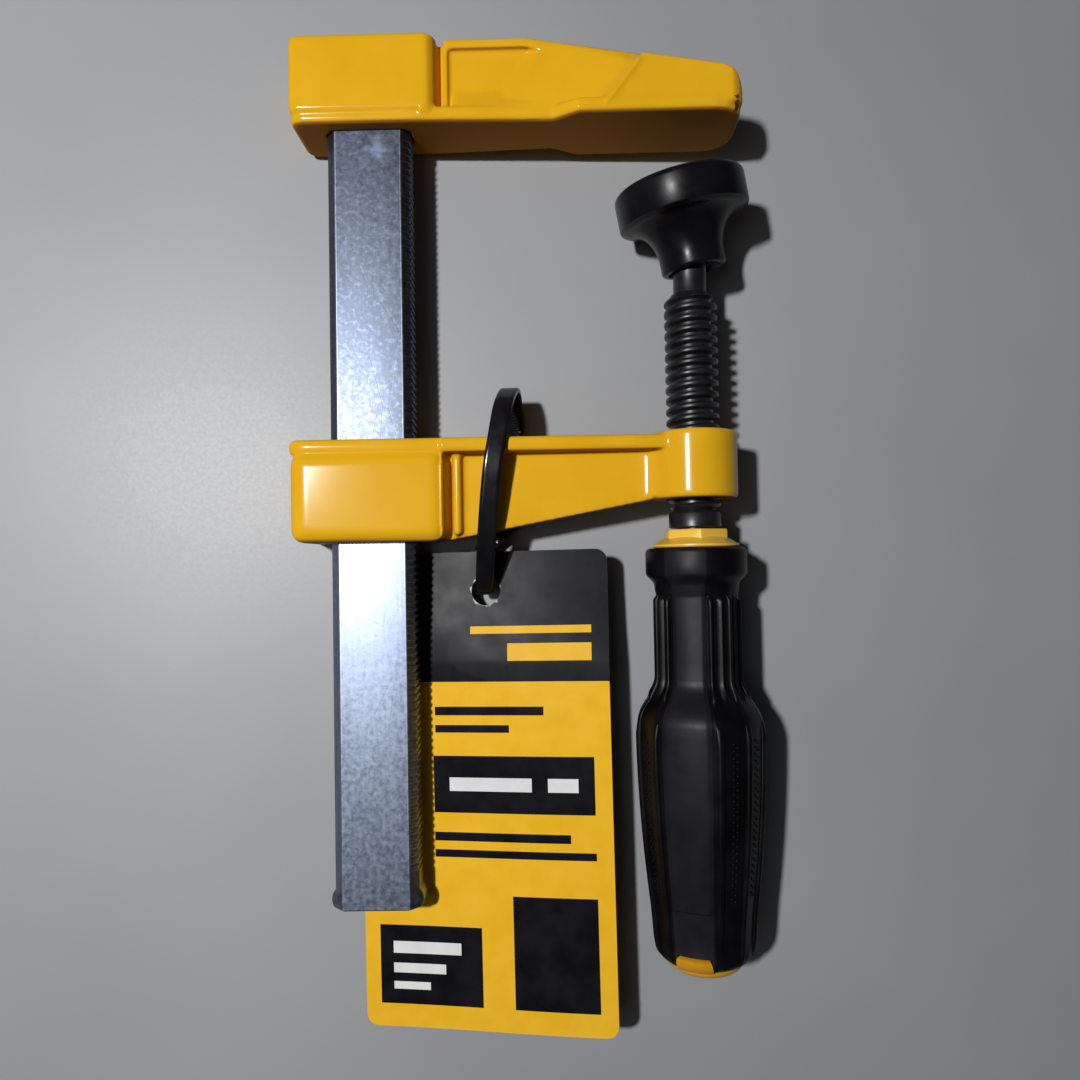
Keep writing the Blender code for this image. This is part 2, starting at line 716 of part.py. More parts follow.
def helical_thread(parent):
    """One unbroken right-hand thread, longer than its blank at both ends."""
    steps = 16
    shares = (0, THREAD_ROOT_SHARE, THREAD_ROOT_SHARE + THREAD_FLANK_SHARE, 1 - THREAD_FLANK_SHARE)
    radii = (THREAD_ROOT_RADIUS, THREAD_ROOT_RADIUS, THREAD_RADIUS, THREAD_RADIUS)
    turns = math.ceil(THREAD_LENGTH / THREAD_PITCH) + 3
    bottom = -NECK_LENGTH - THREAD_LENGTH - 2 * THREAD_PITCH
    rows = turns * len(shares)
    bm = bmesh.new()
    grid = []
    for row in range(rows + 1):
        share = shares[row % len(shares)] + row // len(shares)
        radius = radii[row % len(shares)]
        ring = []
        for step in range(steps):
            angle = FULL_CIRCLE * step / steps
            y = bottom + THREAD_PITCH * (share + step / steps)
            ring.append(bm.verts.new((radius * math.sin(angle), y, radius * math.cos(angle))))
        grid.append(ring)

    def at(row, step):
        return grid[row + len(shares)][0] if step == steps else grid[row][step]

    for row in range(rows - len(shares)):
        for step in range(steps):
            corners = (at(row, step), at(row, step + 1), at(row + 1, step + 1), at(row + 1, step))
            bm.faces.new(corners)
    last = rows - len(shares)
    for row, end in ((0, bottom + THREAD_PITCH / 2), (last, bottom + THREAD_PITCH * (turns - 0.5))):
        apex = bm.verts.new((0, end, 0))
        loop = [at(row, step) for step in range(steps)]
        loop += [grid[row + len(shares) - i][0] for i in range(len(shares))]
        for i, corner in enumerate(loop):
            bm.faces.new((corner, loop[(i + 1) % len(loop)], apex))
    for ring in grid:
        for corner in ring:
            if not corner.link_faces:
                bm.verts.remove(corner)
    bmesh.ops.recalc_face_normals(bm, faces=bm.faces)
    mesh = bpy.data.meshes.new("thread")
    bm.to_mesh(mesh)
    bm.free()
    return put("thread", mesh, parent)


def make_spindle(parent):
    """The ball, neck, threaded rod, plain shank and the tang inside the handle."""
    neck_start = math.pi - math.asin(NECK_RADIUS / BALL_RADIUS)
    thread_end = -NECK_LENGTH - THREAD_LENGTH
    shank_end = thread_end - SHANK_LENGTH
    profile = arc(BALL_RADIUS, 0, neck_start, 10) + [
        (NECK_RADIUS, -NECK_LENGTH - CLEARANCE),
        (THREAD_CORE_RADIUS, -NECK_LENGTH - CLEARANCE),
        (THREAD_CORE_RADIUS, thread_end),
        (THREAD_RADIUS, thread_end),
        (THREAD_RADIUS, shank_end),
        (TANG_RADIUS, shank_end),
        (TANG_RADIUS, shank_end - TANG_LENGTH),
        (0, shank_end - TANG_LENGTH),
    ]
    spindle = turned("spindle", profile, parent, 32)
    thread = helical_thread(parent)
    keep_inside(thread, thread_blank(parent))
    join(spindle, thread)
    return finish(spindle, black_plastic("spindle", 0.35))


def make_ball_seat(parent):
    """The cup that the ball pushes on."""
    inner = BALL_RADIUS + CLEARANCE
    profile = arc(inner + SOCKET_WALL, 0, SEAT_EDGE, 6) + arc(inner, SEAT_EDGE, 0, 6)
    return finish(turned("ball_seat", profile, parent, 24), black_plastic("ball_seat"))


def make_snap_ring(parent):
    """The ring behind the ball that keeps the pad on it."""
    inner = BALL_RADIUS + CLEARANCE
    profile = arc(inner + SOCKET_WALL, RING_START, RING_END, 6)
    profile += arc(inner, RING_END, RING_START, 6)
    ring = turned("snap_ring", profile, parent, 24, closed=True)
    return finish(ring, black_plastic("snap_ring"))


def make_pad(parent):
    """The round pad, with the hollow in its hub that holds the ball."""
    face = PAD_FACE_HEIGHT
    rim_end = face - PAD_RIM_HEIGHT
    corner_y = face - PAD_RIM_CORNER
    corner_x = PAD_RADIUS - PAD_RIM_CORNER
    profile = [(0, face)]
    for i in range(5):
        angle = math.pi / 2 * i / 4
        x = corner_x + PAD_RIM_CORNER * math.sin(angle)
        profile.append((x, corner_y + PAD_RIM_CORNER * math.cos(angle)))
    under = PAD_RADIUS - PAD_UNDERCUT
    profile += [(PAD_RADIUS, rim_end), (under, rim_end - PAD_UNDERCUT / 2)]
    flare_x = under - PAD_HUB_RADIUS
    flare_end = PAD_HUB_STRAIGHT - PAD_HUB_LENGTH
    flare_y = rim_end - PAD_UNDERCUT / 2 - flare_end
    steps = 6
    for i in range(1, steps + 1):
        angle = math.pi / 2 * i / steps
        x = PAD_HUB_RADIUS + flare_x * (1 - math.sin(angle))
        profile.append((x, flare_end + flare_y * math.cos(angle)))
    cavity = BALL_RADIUS + 2 * CLEARANCE + SOCKET_WALL
    throat_angle = math.pi - math.asin(PAD_THROAT_RADIUS / cavity)
    profile += [
        (PAD_HUB_RADIUS, PAD_HUB_CORNER - PAD_HUB_LENGTH),
        (PAD_HUB_RADIUS - PAD_HUB_CORNER, -PAD_HUB_LENGTH),
        (PAD_MOUTH_RADIUS, -PAD_HUB_LENGTH),
    ]
    profile += arc(cavity, throat_angle, 0, 10)
    return finish(turned("swivel_pad", profile, parent, 40), black_plastic("swivel_pad", 0.4))


def sector(name, turn, extra, low, high, parent):
    """A piece of the space under one wide panel, grown by a clearance."""
    middle = FIRST_RIDGE + PANEL_SHARES[0] * FULL_CIRCLE / 2 + turn * FULL_CIRCLE / 3
    half = TONGUE_HALF_ANGLE + extra / TONGUE_RADIUS
    steps = 6
    outline = []
    for radius, way in ((CORE_RADIUS - OVERRUN, 1), (TONGUE_RADIUS + extra, -1)):
        for i in range(steps + 1):
            angle = middle - way * half + way * 2 * half * i / steps
            outline.append((radius * math.sin(angle), radius * math.cos(angle)))
    place = (0, (low + high) / 2, 0)
    return plate(name, outline, high - low, parent, PLAN_VIEW, place)


def make_handle_core(parent):
    """The hard core, which shows as the collar at the top and the dome at the bottom."""
    dome_top = -SKIRT_BOTTOM - 2 * CLEARANCE - GRIP_LENGTH
    profile = [
        (0, -SKIRT_TOP / 2),
        (TANG_RADIUS, -SKIRT_TOP / 2),
        (COLLAR_RADIUS - OVERRUN, -SKIRT_TOP),
        (SKIRT_RADIUS, -SKIRT_SHOULDER),
        (SKIRT_RADIUS, -SKIRT_BOTTOM),
        (CORE_RADIUS, -SKIRT_BOTTOM),
        (CORE_RADIUS, dome_top),
    ]
    steps = 6
    for i in range(steps + 1):
        angle = math.pi / 2 * i / steps
        profile.append((DOME_RADIUS * math.cos(angle), dome_top - DOME_HEIGHT * math.sin(angle)))
    core = turned("handle_core", profile, parent, 32)
    for i in range(3):
        tongue = sector(f"tongue_{i}", i, 0, dome_top + TONGUE_LIFT, dome_top + TONGUE_HEIGHT, parent)
        soften(tongue, CLEARANCE, 1)
        join(core, tongue)
    middle = (0, -COLLAR_HEIGHT / 2, 0)
    collar = cylinder("collar", COLLAR_RADIUS, COLLAR_HEIGHT, parent, middle, sides=6)
    soften(collar, CLEARANCE, 1)
    join(core, collar)
    depth = TANG_LENGTH + CLEARANCE + OVERRUN
    place = (0, OVERRUN - depth / 2, 0)
    cut(core, cylinder("tang_hole", TANG_RADIUS + CLEARANCE, depth, parent, place, sides=24))
    return finish(core, yellow_paint("handle_core"))


def ease(share):
    """0 to 1 with a level start and end."""
    share = min(1, max(0, share))
    return share * share * (3 - 2 * share)


def grip_radius(drop):
    """The grip's radius at this distance below its top edge."""
    if drop < LIP_CORNER:
        slope = 1 - drop / LIP_CORNER
        return LIP_RADIUS - LIP_CORNER * (1 - math.sqrt(1 - slope**2))
    if drop < LIP_HEIGHT:
        return LIP_RADIUS
    if drop < LIP_FOOT:
        share = ease((drop - LIP_HEIGHT) / (LIP_FOOT - LIP_HEIGHT))
        return LIP_RADIUS + (WAIST_RADIUS - LIP_RADIUS) * share
    if drop < WAIST_END:
        return WAIST_RADIUS
    if drop < BELLY_START:
        share = ease((drop - WAIST_END) / (BELLY_START - WAIST_END))
        return WAIST_RADIUS + (BELLY_RADIUS - WAIST_RADIUS) * share
    if drop < BELLY_END:
        return BELLY_RADIUS
    if drop < NOTCH_START:
        share = (drop - BELLY_END) / (NOTCH_START - BELLY_END)
        return BELLY_RADIUS + (NOTCH_RADIUS - BELLY_RADIUS) * share**NOTCH_FALL_POWER
    heel = GRIP_LENGTH - HEEL_CORNER
    if drop < heel:
        share = (drop - NOTCH_START) / (heel - NOTCH_START)
        return NOTCH_RADIUS + (HEEL_RADIUS - NOTCH_RADIUS) * share
    slope = (drop - heel) / HEEL_CORNER
    return HEEL_RADIUS - HEEL_CORNER * (1 - math.sqrt(max(0, 1 - slope**2)))


def ridge_angles():
    """The angles of the nine ridges, and the panel's half width after each."""
    found = []
    angle = FIRST_RIDGE
    for _ in range(3):
        for share in PANEL_SHARES:
            found.append((angle, share * FULL_CIRCLE / 2))
            angle += share * FULL_CIRCLE
    return found


def grip_columns():
    """(angle, flattening, ridge, wide panel) for each lengthwise line of the grip."""
    columns = []
    for angle, half in ridge_angles():
        wide = half > TONGUE_HALF_ANGLE
        columns.append((angle, 0, 1, False))
        shares = WIDE_PANEL_SHARES if wide else NARROW_PANEL_SHARES
        inner = half - RIDGE_WIDTH
        for share in shares:
            off = share * inner
            flat = math.cos(half) / math.cos(off)
            columns.append((angle + half + off, flat, 0, wide))
    return columns


def grip_levels():
    """Distances below the grip's top edge at which its section is drawn."""
    levels = [LIP_CORNER * share for share in LIP_LEVEL_SHARES]
    levels += [LIP_HEIGHT, (LIP_HEIGHT + LIP_FOOT) / 2, LIP_FOOT, WAIST_END]
    levels += [WAIST_END + (BELLY_START - WAIST_END) * i / 6 for i in range(1, 7)]
    levels += [BELLY_END]
    levels += [BELLY_END + (LEDGE_DROP - BELLY_END) * i / 5 for i in range(1, 6)]
    levels += [LEDGE_DROP + LEDGE_STEP, NOTCH_START]
    heel = GRIP_LENGTH - HEEL_CORNER
    levels += [heel + HEEL_CORNER * share for share in HEEL_LEVEL_SHARES]
    return levels


def make_grip(parent):
    """The soft grip: nine ridges round it, between one wide and two narrow panels, three times."""
    columns = grip_columns()
    bm = bmesh.new()
    rings = []
    for drop in grip_levels():
        radius = grip_radius(drop)
        fade = ease((drop - LIP_HEIGHT) / (LIP_FOOT - LIP_HEIGHT))
        fade *= ease((GRIP_LENGTH - drop) / HEEL_CORNER)
        ring = []
        for angle, flat, ridge, wide in columns:
            reach = radius
            if flat:
                reach *= 1 - fade * PANEL_FLATTENING_SHARE * (1 - flat)
            if wide and drop > LEDGE_DROP:
                reach -= LEDGE_STEP
            reach += fade * ridge * RIDGE_HEIGHT
            y = -SKIRT_BOTTOM - CLEARANCE - drop
            ring.append(bm.verts.new((reach * math.sin(angle), y, reach * math.cos(angle))))
        rings.append(ring)
    count = len(columns)
    for above, below in zip(rings, rings[1:]):
        for i in range(count):
            bm.faces.new((above[i], below[i], below[(i + 1) % count], above[(i + 1) % count]))
    bm.faces.new(rings[0])
    bm.faces.new(list(reversed(rings[-1])))
    bmesh.ops.recalc_face_normals(bm, faces=bm.faces)
    mesh = bpy.data.meshes.new("handle_grip")
    bm.to_mesh(mesh)
    bm.free()
    grip = put("handle_grip", mesh, parent)
    shade_round(grip)
    bottom = -SKIRT_BOTTOM - CLEARANCE - GRIP_LENGTH
    place = (0, (bottom - SKIRT_BOTTOM) / 2, 0)
    length = GRIP_LENGTH + CLEARANCE + 2 * OVERRUN
    radius = CORE_RADIUS + CLEARANCE
    cut(grip, cylinder("core_hole", radius, length, parent, place, sides=24))
    high = bottom + TONGUE_HEIGHT + CLEARANCE
    for i in range(3):
        cut(grip, sector(f"notch_{i}", i, 3 * CLEARANCE, bottom - OVERRUN, high, parent))
    return finish(grip, black_plastic("handle_grip", 0.55))


def smooth_loop(points, count):
    """A closed curve through these points, at evenly spaced shares of its stretches."""
    made = []
    total = len(points)
    for i in range(count):
        place = i * total / count
        k = int(place)
        t = place - k
        p0, p1, p2, p3 = (Vector(points[(k + j) % total]) for j in (-1, 0, 1, 2))
        bend = 2 * p1 + (p2 - p0) * t
        bend += (2 * p0 - 5 * p1 + 4 * p2 - p3) * t**2
        bend += (3 * p1 - p0 - 3 * p2 + p3) * t**3
        made.append(bend / 2)
    return made


def flange_half_depth(x):
    """Half the depth of the sliding jaw's flange at this x."""
    share = x / TOOTHED_X
    return (FLANGE_END_DEPTH + share * (FLANGE_ROOT_DEPTH - FLANGE_END_DEPTH)) / 2


def tie_route():
    """Points along the middle of the strap, over the arm and through the card, and the head's place."""
    loop_x = TAG_X + 2 * TAG_HOLE_RADIUS
    side = flange_half_depth(loop_x) + CLEARANCE + TIE_THICKNESS / 2
    reach = TAG_Y - TIE_TOP
    points = []
    for lean, fall, out in TIE_FRONT_SHARES:
        points.append((loop_x - lean * TIE_WIDTH, TIE_TOP + fall * reach, out * side))
    for lean, fall, out in TIE_HOLE_SHARES:
        z = TAG_Z if fall == 1 else out * side
        points.append((TAG_X - lean * TIE_WIDTH, TIE_TOP + fall * reach, z))
    under = TAG_Z - TAG_THICKNESS - TIE_THICKNESS
    points.append((TAG_X, TAG_Y + TAG_HOLE_RADIUS / 2, under))
    points.append((TAG_X, TAG_Y + 2 * TAG_HOLE_RADIUS + TIE_WIDTH, under - TIE_THICKNESS))
    for row in TIE_BACK_SHARES:
        lean, fall, out = row
        points.append((loop_x - lean * TIE_WIDTH, TIE_TOP + fall * reach, -out * side))
        if row == TIE_HEAD_SHARES:
            head_place = points[-1]
    return points, head_place


def make_cable_tie(parent, stations=52):
    """The strap, with its flat side towards what it goes round, and its head behind the arm."""
    points, head_place = tie_route()
    route = smooth_loop(points, stations)
    bm = bmesh.new()
    rings = []
    for i, place in enumerate(route):
        along = (route[(i + 1) % len(route)] - route[i - 1]).normalized()
        across = Vector((1, 0, 0))
        across = (across - along * across.dot(along)).normalized()
        outwards = along.cross(across)
        half_width = across * TIE_WIDTH / 2
        half_thickness = outwards * TIE_THICKNESS / 2
        corners = (
            place - half_width - half_thickness,
            place + half_width - half_thickness,
            place + half_width + half_thickness,
            place - half_width + half_thickness,
        )
        rings.append([bm.verts.new(corner) for corner in corners])
    for i, ring in enumerate(rings):
        after = rings[(i + 1) % len(rings)]
        for j in range(4):
            bm.faces.new((ring[j], ring[(j + 1) % 4], after[(j + 1) % 4], after[j]))
    bmesh.ops.recalc_face_normals(bm, faces=bm.faces)
    mesh = bpy.data.meshes.new("cable_tie")
    bm.to_mesh(mesh)
    bm.free()
    tie = put("cable_tie", mesh, parent)
    x, y, z = head_place
    low = (x - TIE_HEAD_WIDTH / 2, y - TIE_HEAD_LENGTH / 2, z - TIE_THICKNESS)
    high = (x + TIE_HEAD_WIDTH / 2, y + TIE_HEAD_LENGTH / 2, low[2] + TIE_HEAD_HEIGHT)
    head = box("tie_head", low, high, parent)
    soften(head, CLEARANCE, 1)
    join(tie, head)
    return finish(tie, black_plastic("cable_tie", 0.35))


def make_tag(parent):
    """The card, measured from the hole that it swings about."""
    left = -TAG_WIDTH / 2 - TAG_HOLE_SIDE
    right = TAG_WIDTH / 2 - TAG_HOLE_SIDE
    bottom = TAG_HOLE_DROP - TAG_LENGTH
    outline = rounded(
        [
            (left, TAG_HOLE_DROP, TAG_CORNER),
            (left, bottom, TAG_CORNER),
            (right, bottom, TAG_CORNER),
            (right, TAG_HOLE_DROP, TAG_CORNER),
        ],
        5,
    )
    tag = plate("hang_tag", outline, TAG_THICKNESS, parent)
    depth = TAG_THICKNESS + 2 * OVERRUN
    cut(tag, cylinder("tag_hole", TAG_HOLE_RADIUS, depth, parent, axis="Z", sides=24))
    return finish(tag, material("hang_tag", (0.62, 0.36, 0.02), 0.5))


def make_clamp():
    lie = pivot("lie", None)
    lie.rotation_euler = (0, LIE_ANGLE, 0)
    make_bar(lie)
    make_fixed_jaw(lie)
    jaw_slide = pivot("jaw_slide", lie, (0, -JAW_GAP, 0))
    make_sliding_jaw(jaw_slide)
    make_lock_shoe(jaw_slide)
    make_lock_spring(jaw_slide)
    screw_feed = pivot("screw_feed", jaw_slide, (0, JAW_GAP - BALL_TO_JAW, 0))
    make_ball_seat(screw_feed)
    spindle_turn = pivot("spindle_turn", screw_feed)
    make_spindle(spindle_turn)
    handle = pivot("handle", spindle_turn, (0, -HANDLE_TOP, 0))
    make_handle_core(handle)
    make_grip(handle)
    pad_tilt = pivot("pad_tilt", screw_feed)
    pad_tilt.rotation_euler = (0, 0, PAD_TILT)
    make_snap_ring(pad_tilt)
    pad_lean = pivot("pad_lean", pad_tilt)
    pad_lean.rotation_euler = (PAD_LEAN, 0, 0)
    make_pad(pad_lean)
    make_cable_tie(jaw_slide)
    tag_swing = pivot("tag_swing", jaw_slide, (TAG_X, TAG_Y, TAG_Z))
    tag_swing.rotation_euler = (0, TAG_ROLL, TAG_TURN)
    make_tag(tag_swing)


clear_scene()
PARTS = collection("bar_clamp")
HELPERS = collection("cutters")
HELPERS.hide_render = True
make_clamp()
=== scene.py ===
"""Looks of the bar clamp, its card and its cable tie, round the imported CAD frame."""

import math
from collections import namedtuple

import bmesh
import bpy
from mathutils import Euler, Matrix, Vector


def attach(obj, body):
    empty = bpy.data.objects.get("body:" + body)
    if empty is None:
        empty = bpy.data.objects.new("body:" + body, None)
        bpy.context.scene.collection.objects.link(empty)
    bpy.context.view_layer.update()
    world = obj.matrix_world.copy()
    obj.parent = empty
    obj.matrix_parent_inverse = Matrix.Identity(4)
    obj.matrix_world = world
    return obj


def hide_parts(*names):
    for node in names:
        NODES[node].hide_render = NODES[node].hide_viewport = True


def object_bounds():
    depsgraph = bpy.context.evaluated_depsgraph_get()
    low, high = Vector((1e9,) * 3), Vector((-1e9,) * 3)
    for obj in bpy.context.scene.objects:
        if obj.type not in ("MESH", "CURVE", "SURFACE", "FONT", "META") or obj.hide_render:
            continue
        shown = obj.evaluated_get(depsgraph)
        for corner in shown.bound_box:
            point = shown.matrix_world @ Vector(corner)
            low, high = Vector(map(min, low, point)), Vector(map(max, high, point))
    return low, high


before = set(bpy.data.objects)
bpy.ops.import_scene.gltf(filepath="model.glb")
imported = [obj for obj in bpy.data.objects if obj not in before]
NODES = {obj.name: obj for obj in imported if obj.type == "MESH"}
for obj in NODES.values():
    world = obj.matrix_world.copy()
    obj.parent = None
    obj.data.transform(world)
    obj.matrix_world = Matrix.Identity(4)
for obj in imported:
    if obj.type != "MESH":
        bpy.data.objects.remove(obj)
CAD_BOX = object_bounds()

WELD = 0.000002  # points this close are one

# Places of the CAD source, in metres. In the clamp's own frame Y runs along the bar, the fixed
# jaw's face is at 0, and the screw's axis is X = Z = 0.
LIE_SINE = 0.067143  # the clamp lies on its pad's rim and on the sliding jaw's closed end
CLAMP = Matrix.Rotation(-math.asin(LIE_SINE), 4, "Y")
JAW_GAP = 0.0566  # between the two jaws' faces
BALL = Vector((0, -0.0205, 0))
SCREW_FRAME = CLAMP @ Matrix.Translation(BALL)
PAD_TILT = Matrix.Rotation(math.radians(11), 4, "Z")
PAD_LEAN = Matrix.Rotation(math.radians(5.5), 4, "X")
PAD_FRAME = SCREW_FRAME @ PAD_TILT @ PAD_LEAN
HANDLE_TOP = Vector((0, -0.0735, 0))
HANDLE = CLAMP @ Matrix.Translation(HANDLE_TOP)
JAW = Vector((0, -JAW_GAP, 0))
TIE_FRAME = CLAMP @ Matrix.Translation(JAW)
CARD_HOLE = Vector((-0.0388, -0.0275, -0.0029))  # from the sliding jaw's face
CARD_ROLL = math.radians(-7.4)
CARD_TURN = math.radians(0.5)
CARD_WAY = Euler((0, CARD_ROLL, CARD_TURN)).to_matrix().to_4x4()
CARD_FRAME = CLAMP @ Matrix.Translation(JAW + CARD_HOLE) @ CARD_WAY

# Sizes of the bar
BAR_X = -0.0584  # of its middle
BAR_HALF_WIDTH = 0.0076
BAR_HALF_THICKNESS = 0.0033
BAR_BEVEL = 0.0016


# Materials


class Finish:
    """A material and the nodes that give it its detail."""

    def __init__(self, name, colour, roughness, metallic=0.0):
        self.made = bpy.data.materials.new(name)
        self.made.use_nodes = True
        self.tree = self.made.node_tree
        self.shader = self.tree.nodes["Principled BSDF"]
        self.put("Base Color", (*colour, 1))
        self.put("Roughness", roughness)
        self.put("Metallic", metallic)
        self.place = self.add("ShaderNodeTexCoord").outputs["Object"]

    def add(self, kind, inputs=None, **settings):
        """A node with these settings and inputs."""
        node = self.tree.nodes.new(kind)
        for name, value in settings.items():
            setattr(node, name, value)
        for name, value in (inputs or {}).items():
            self.feed(node.inputs[name], value)
        return node

    def feed(self, socket, value):
        """Links another node's output to the socket, or sets it to a plain value."""
        if hasattr(value, "is_linked"):
            self.tree.links.new(value, socket)
        else:
            socket.default_value = value

    def put(self, name, value):
        self.feed(self.shader.inputs[name], value)

    def tint(self, share, first, second):
        self.put("Base Color", self.blend(share, first, second))

    def roughen(self, scale, detail, low, high):
        self.put("Roughness", self.wander(scale, detail, low, high))

    def axes(self, vector):
        """The X, Y and Z of a vector, each as an output."""
        return self.add("ShaderNodeSeparateXYZ", {0: vector}).outputs

    def stretched(self, scale):
        """The place in the piece, scaled differently along each axis."""
        return self.add("ShaderNodeMapping", {"Vector": self.place, "Scale": scale}).outputs["Vector"]

    def noise(self, scale, detail, roughness=0.5, place=None):
        inputs = {"Vector": place or self.place, "Scale": scale, "Detail": detail, "Roughness": roughness}
        return self.add("ShaderNodeTexNoise", inputs).outputs["Fac"]

    def cell_borders(self, place):
        """The distance from the nearest border between cells."""
        node = self.add("ShaderNodeTexVoronoi", {"Vector": place, "Scale": 1}, feature="DISTANCE_TO_EDGE")
        return node.outputs["Distance"]

    def spread(self, value, low, high, out_low=0.0, out_high=1.0):
        """A value from one range to another, held at the ends."""
        inputs = {"Value": value, "From Min": low, "From Max": high, "To Min": out_low, "To Max": out_high}
        return self.add("ShaderNodeMapRange", inputs).outputs["Result"]

    def wander(self, scale, detail, low=0.0, high=1.0, margin=0.3):
        """A value that wanders between two others over the surface."""
        return self.spread(self.noise(scale, detail), margin, 1 - margin, low, high)

    def maths(self, operation, first, second):
        return self.add("ShaderNodeMath", {0: first, 1: second}, operation=operation).outputs[0]

    def blend(self, share, first, second):
        """One colour turning into another."""
        inputs = {"Factor": share}
        for name, colour in (("A", first), ("B", second)):
            inputs[name] = colour if hasattr(colour, "is_linked") else (*colour, 1)
        return self.add("ShaderNodeMix", inputs, data_type="RGBA").outputs["Result"]

    def near(self, place, reach, ragged=0.0, scale=900, soft=0.08):
        """1 near a place, 0 past its reach, with a ragged or soft edge."""
        node = self.add("ShaderNodeVectorMath", {0: self.place, 1: place}, operation="DISTANCE")
        away = node.outputs["Value"]
        if ragged:
            away = self.maths("ADD", away, self.wander(scale, 3, -ragged, ragged))
        return self.spread(away, reach * (1 - soft), reach, 1, 0)

    def bumps(self, height, depth, strength):
        """Relief on top of what the surface already has."""
        node = self.add("ShaderNodeBump", {"Distance": depth, "Strength": strength, "Height": height})
        previous = self.shader.inputs["Normal"]
        if previous.is_linked:
            self.feed(node.inputs["Normal"], previous.links[0].from_socket)
        self.put("Normal", node.outputs["Normal"])


YELLOW = (0.745, 0.405, 0.012)
CHIP_RAGGED_SHARE = 0.6  # of the chip's reach
BOSS_PLACE = Vector((0, -0.063, 0))
BOSS_REACH = 0.014


def jaw_paint(name, chips, glossy_boss=False):
    """Thick paint with an orange-peel skin, a few chips, and painted shade with less coat on the underside.
    """
    look = Finish(name, YELLOW, 0.4)
    colour = look.blend(look.wander(90, 4), (0.72, 0.38, 0.009), (0.765, 0.42, 0.014))
    bare = None
    for place, reach in chips:
        spot = look.near(CLAMP @ Vector(place), reach, reach * CHIP_RAGGED_SHARE)
        bare = look.maths("MAXIMUM", bare, spot) if bare else spot
    colour = look.blend(bare, colour, (0.13, 0.05, 0.02))
    look.bumps(look.maths("SUBTRACT", 1.0, bare), 0.0001, 1.0)
    normal = look.add("ShaderNodeNewGeometry").outputs["Normal"]
    # Painted shade: faces turned down (towards -Y, away from the lamp) get a darker, redder colour; they
    # also get less coat.
    under = look.spread(look.axes(normal)["Y"], -0.9, -0.7, 1, 0)
    look.tint(under, colour, (0.40, 0.16, 0.02))
    look.roughen(260, 3, 0.36, 0.48)
    gloss = look.maths("SUBTRACT", 1.0, under)
    weight = 0.2
    if glossy_boss:
        weight = look.spread(look.near(BOSS_PLACE, BOSS_REACH), 0, 1, 0.2, 0.7)
    look.put("Coat Weight", look.maths("MULTIPLY", gloss, weight))
    look.put("Coat Roughness", 0.14 if glossy_boss else 0.1)
    look.put("Specular IOR Level", 0.02)
    look.bumps(look.noise(520, 2), 0.00006, 0.35)
    look.bumps(look.noise(90, 2), 0.00025, 0.3)
    return look.made


PAINTED_SHADE_START = -0.075  # from here towards the fixed jaw the bar's colour darkens: painted shade for the weaker reflection there
PAINTED_SHADE_FULL = -0.056
PALE_PATCH = Vector((-0.0570, -0.0038, BAR_HALF_THICKNESS))


def plated_steel():
    """Bright zinc plating: a fine mottle, drawn streaks, flecks and scratches, with painted highlights along
    the face's edges and painted shade towards the fixed jaw.
    """
    look = Finish("zinc_plating", (0.3, 0.34, 0.44), 0.4, 1.0)
    mottle = look.noise(1100, 4, 0.6)
    streaks = look.noise(1, 4, 0.6, look.stretched((1400, 120, 1400)))
    cloud = look.noise(70, 3, 0.6)
    tone = look.maths("ADD", look.maths("MULTIPLY", mottle, 0.65), look.maths("MULTIPLY", streaks, 0.35))
    colour = look.blend(look.spread(tone, 0.36, 0.64), (0.19, 0.225, 0.31), (0.30, 0.35, 0.44))
    colour = look.blend(look.spread(cloud, 0.45, 0.75, 0, 0.35), colour, (0.21, 0.25, 0.38))
    at = look.axes(look.place)
    # Painted shade: the colour darkens towards the fixed jaw, standing in for the lamp's reflection falling
    # away there.
    painted_shade_to_jaw = look.spread(at["Y"], PAINTED_SHADE_START, PAINTED_SHADE_FULL, 0, 0.67)
    colour = look.blend(painted_shade_to_jaw, colour, (0.028, 0.032, 0.045))
    fleck = look.spread(look.noise(1300, 3), 0.5, 0.75, 0, 0.22)
    patch = look.maths("MULTIPLY", look.near(CLAMP @ PALE_PATCH, 0.0030, 0.0012, 500, 0.9), 0.45)
    colour = look.blend(look.maths("MAXIMUM", fleck, patch), colour, (0.36, 0.43, 0.6))
    # Painted highlights: thin pale lines along the top face's two edges, where the rounded arrises catch the
    # lamp.
    for side in (-1, 1):
        edge = CLAMP @ Vector((BAR_X + side * (BAR_HALF_WIDTH - BAR_BEVEL), 0, BAR_HALF_THICKNESS))
        away = look.maths("ABSOLUTE", look.maths("SUBTRACT", at["X"], edge.x), 0)
        colour = look.blend(look.spread(away, 0.0001, 0.00022, 0.6, 0), colour, (0.6, 0.64, 0.72))
    look.put("Base Color", colour)
    look.put("Roughness", look.spread(mottle, 0.35, 0.65, 0.36, 0.46))
    look.bumps(mottle, 0.000012, 0.5)
    look.bumps(streaks, 0.00001, 0.35)
    scratches = look.cell_borders(look.stretched((240, 60, 240)))
    look.bumps(look.spread(scratches, 0.0, 0.02), 0.00001, 0.35)
    return look.made


def black_steel():
    """Black oxide, lightly oiled."""
    look = Finish("black_oxide", (0.010, 0.010, 0.012), 0.36)
    tone = look.wander(300, 4, margin=0.35)
    look.tint(tone, (0.006, 0.006, 0.007), (0.015, 0.015, 0.018))
    look.roughen(500, 3, 0.3, 0.44)
    look.put("Specular IOR Level", 0.5)
    look.bumps(look.noise(700, 3), 0.00002, 0.4)
    return look.made


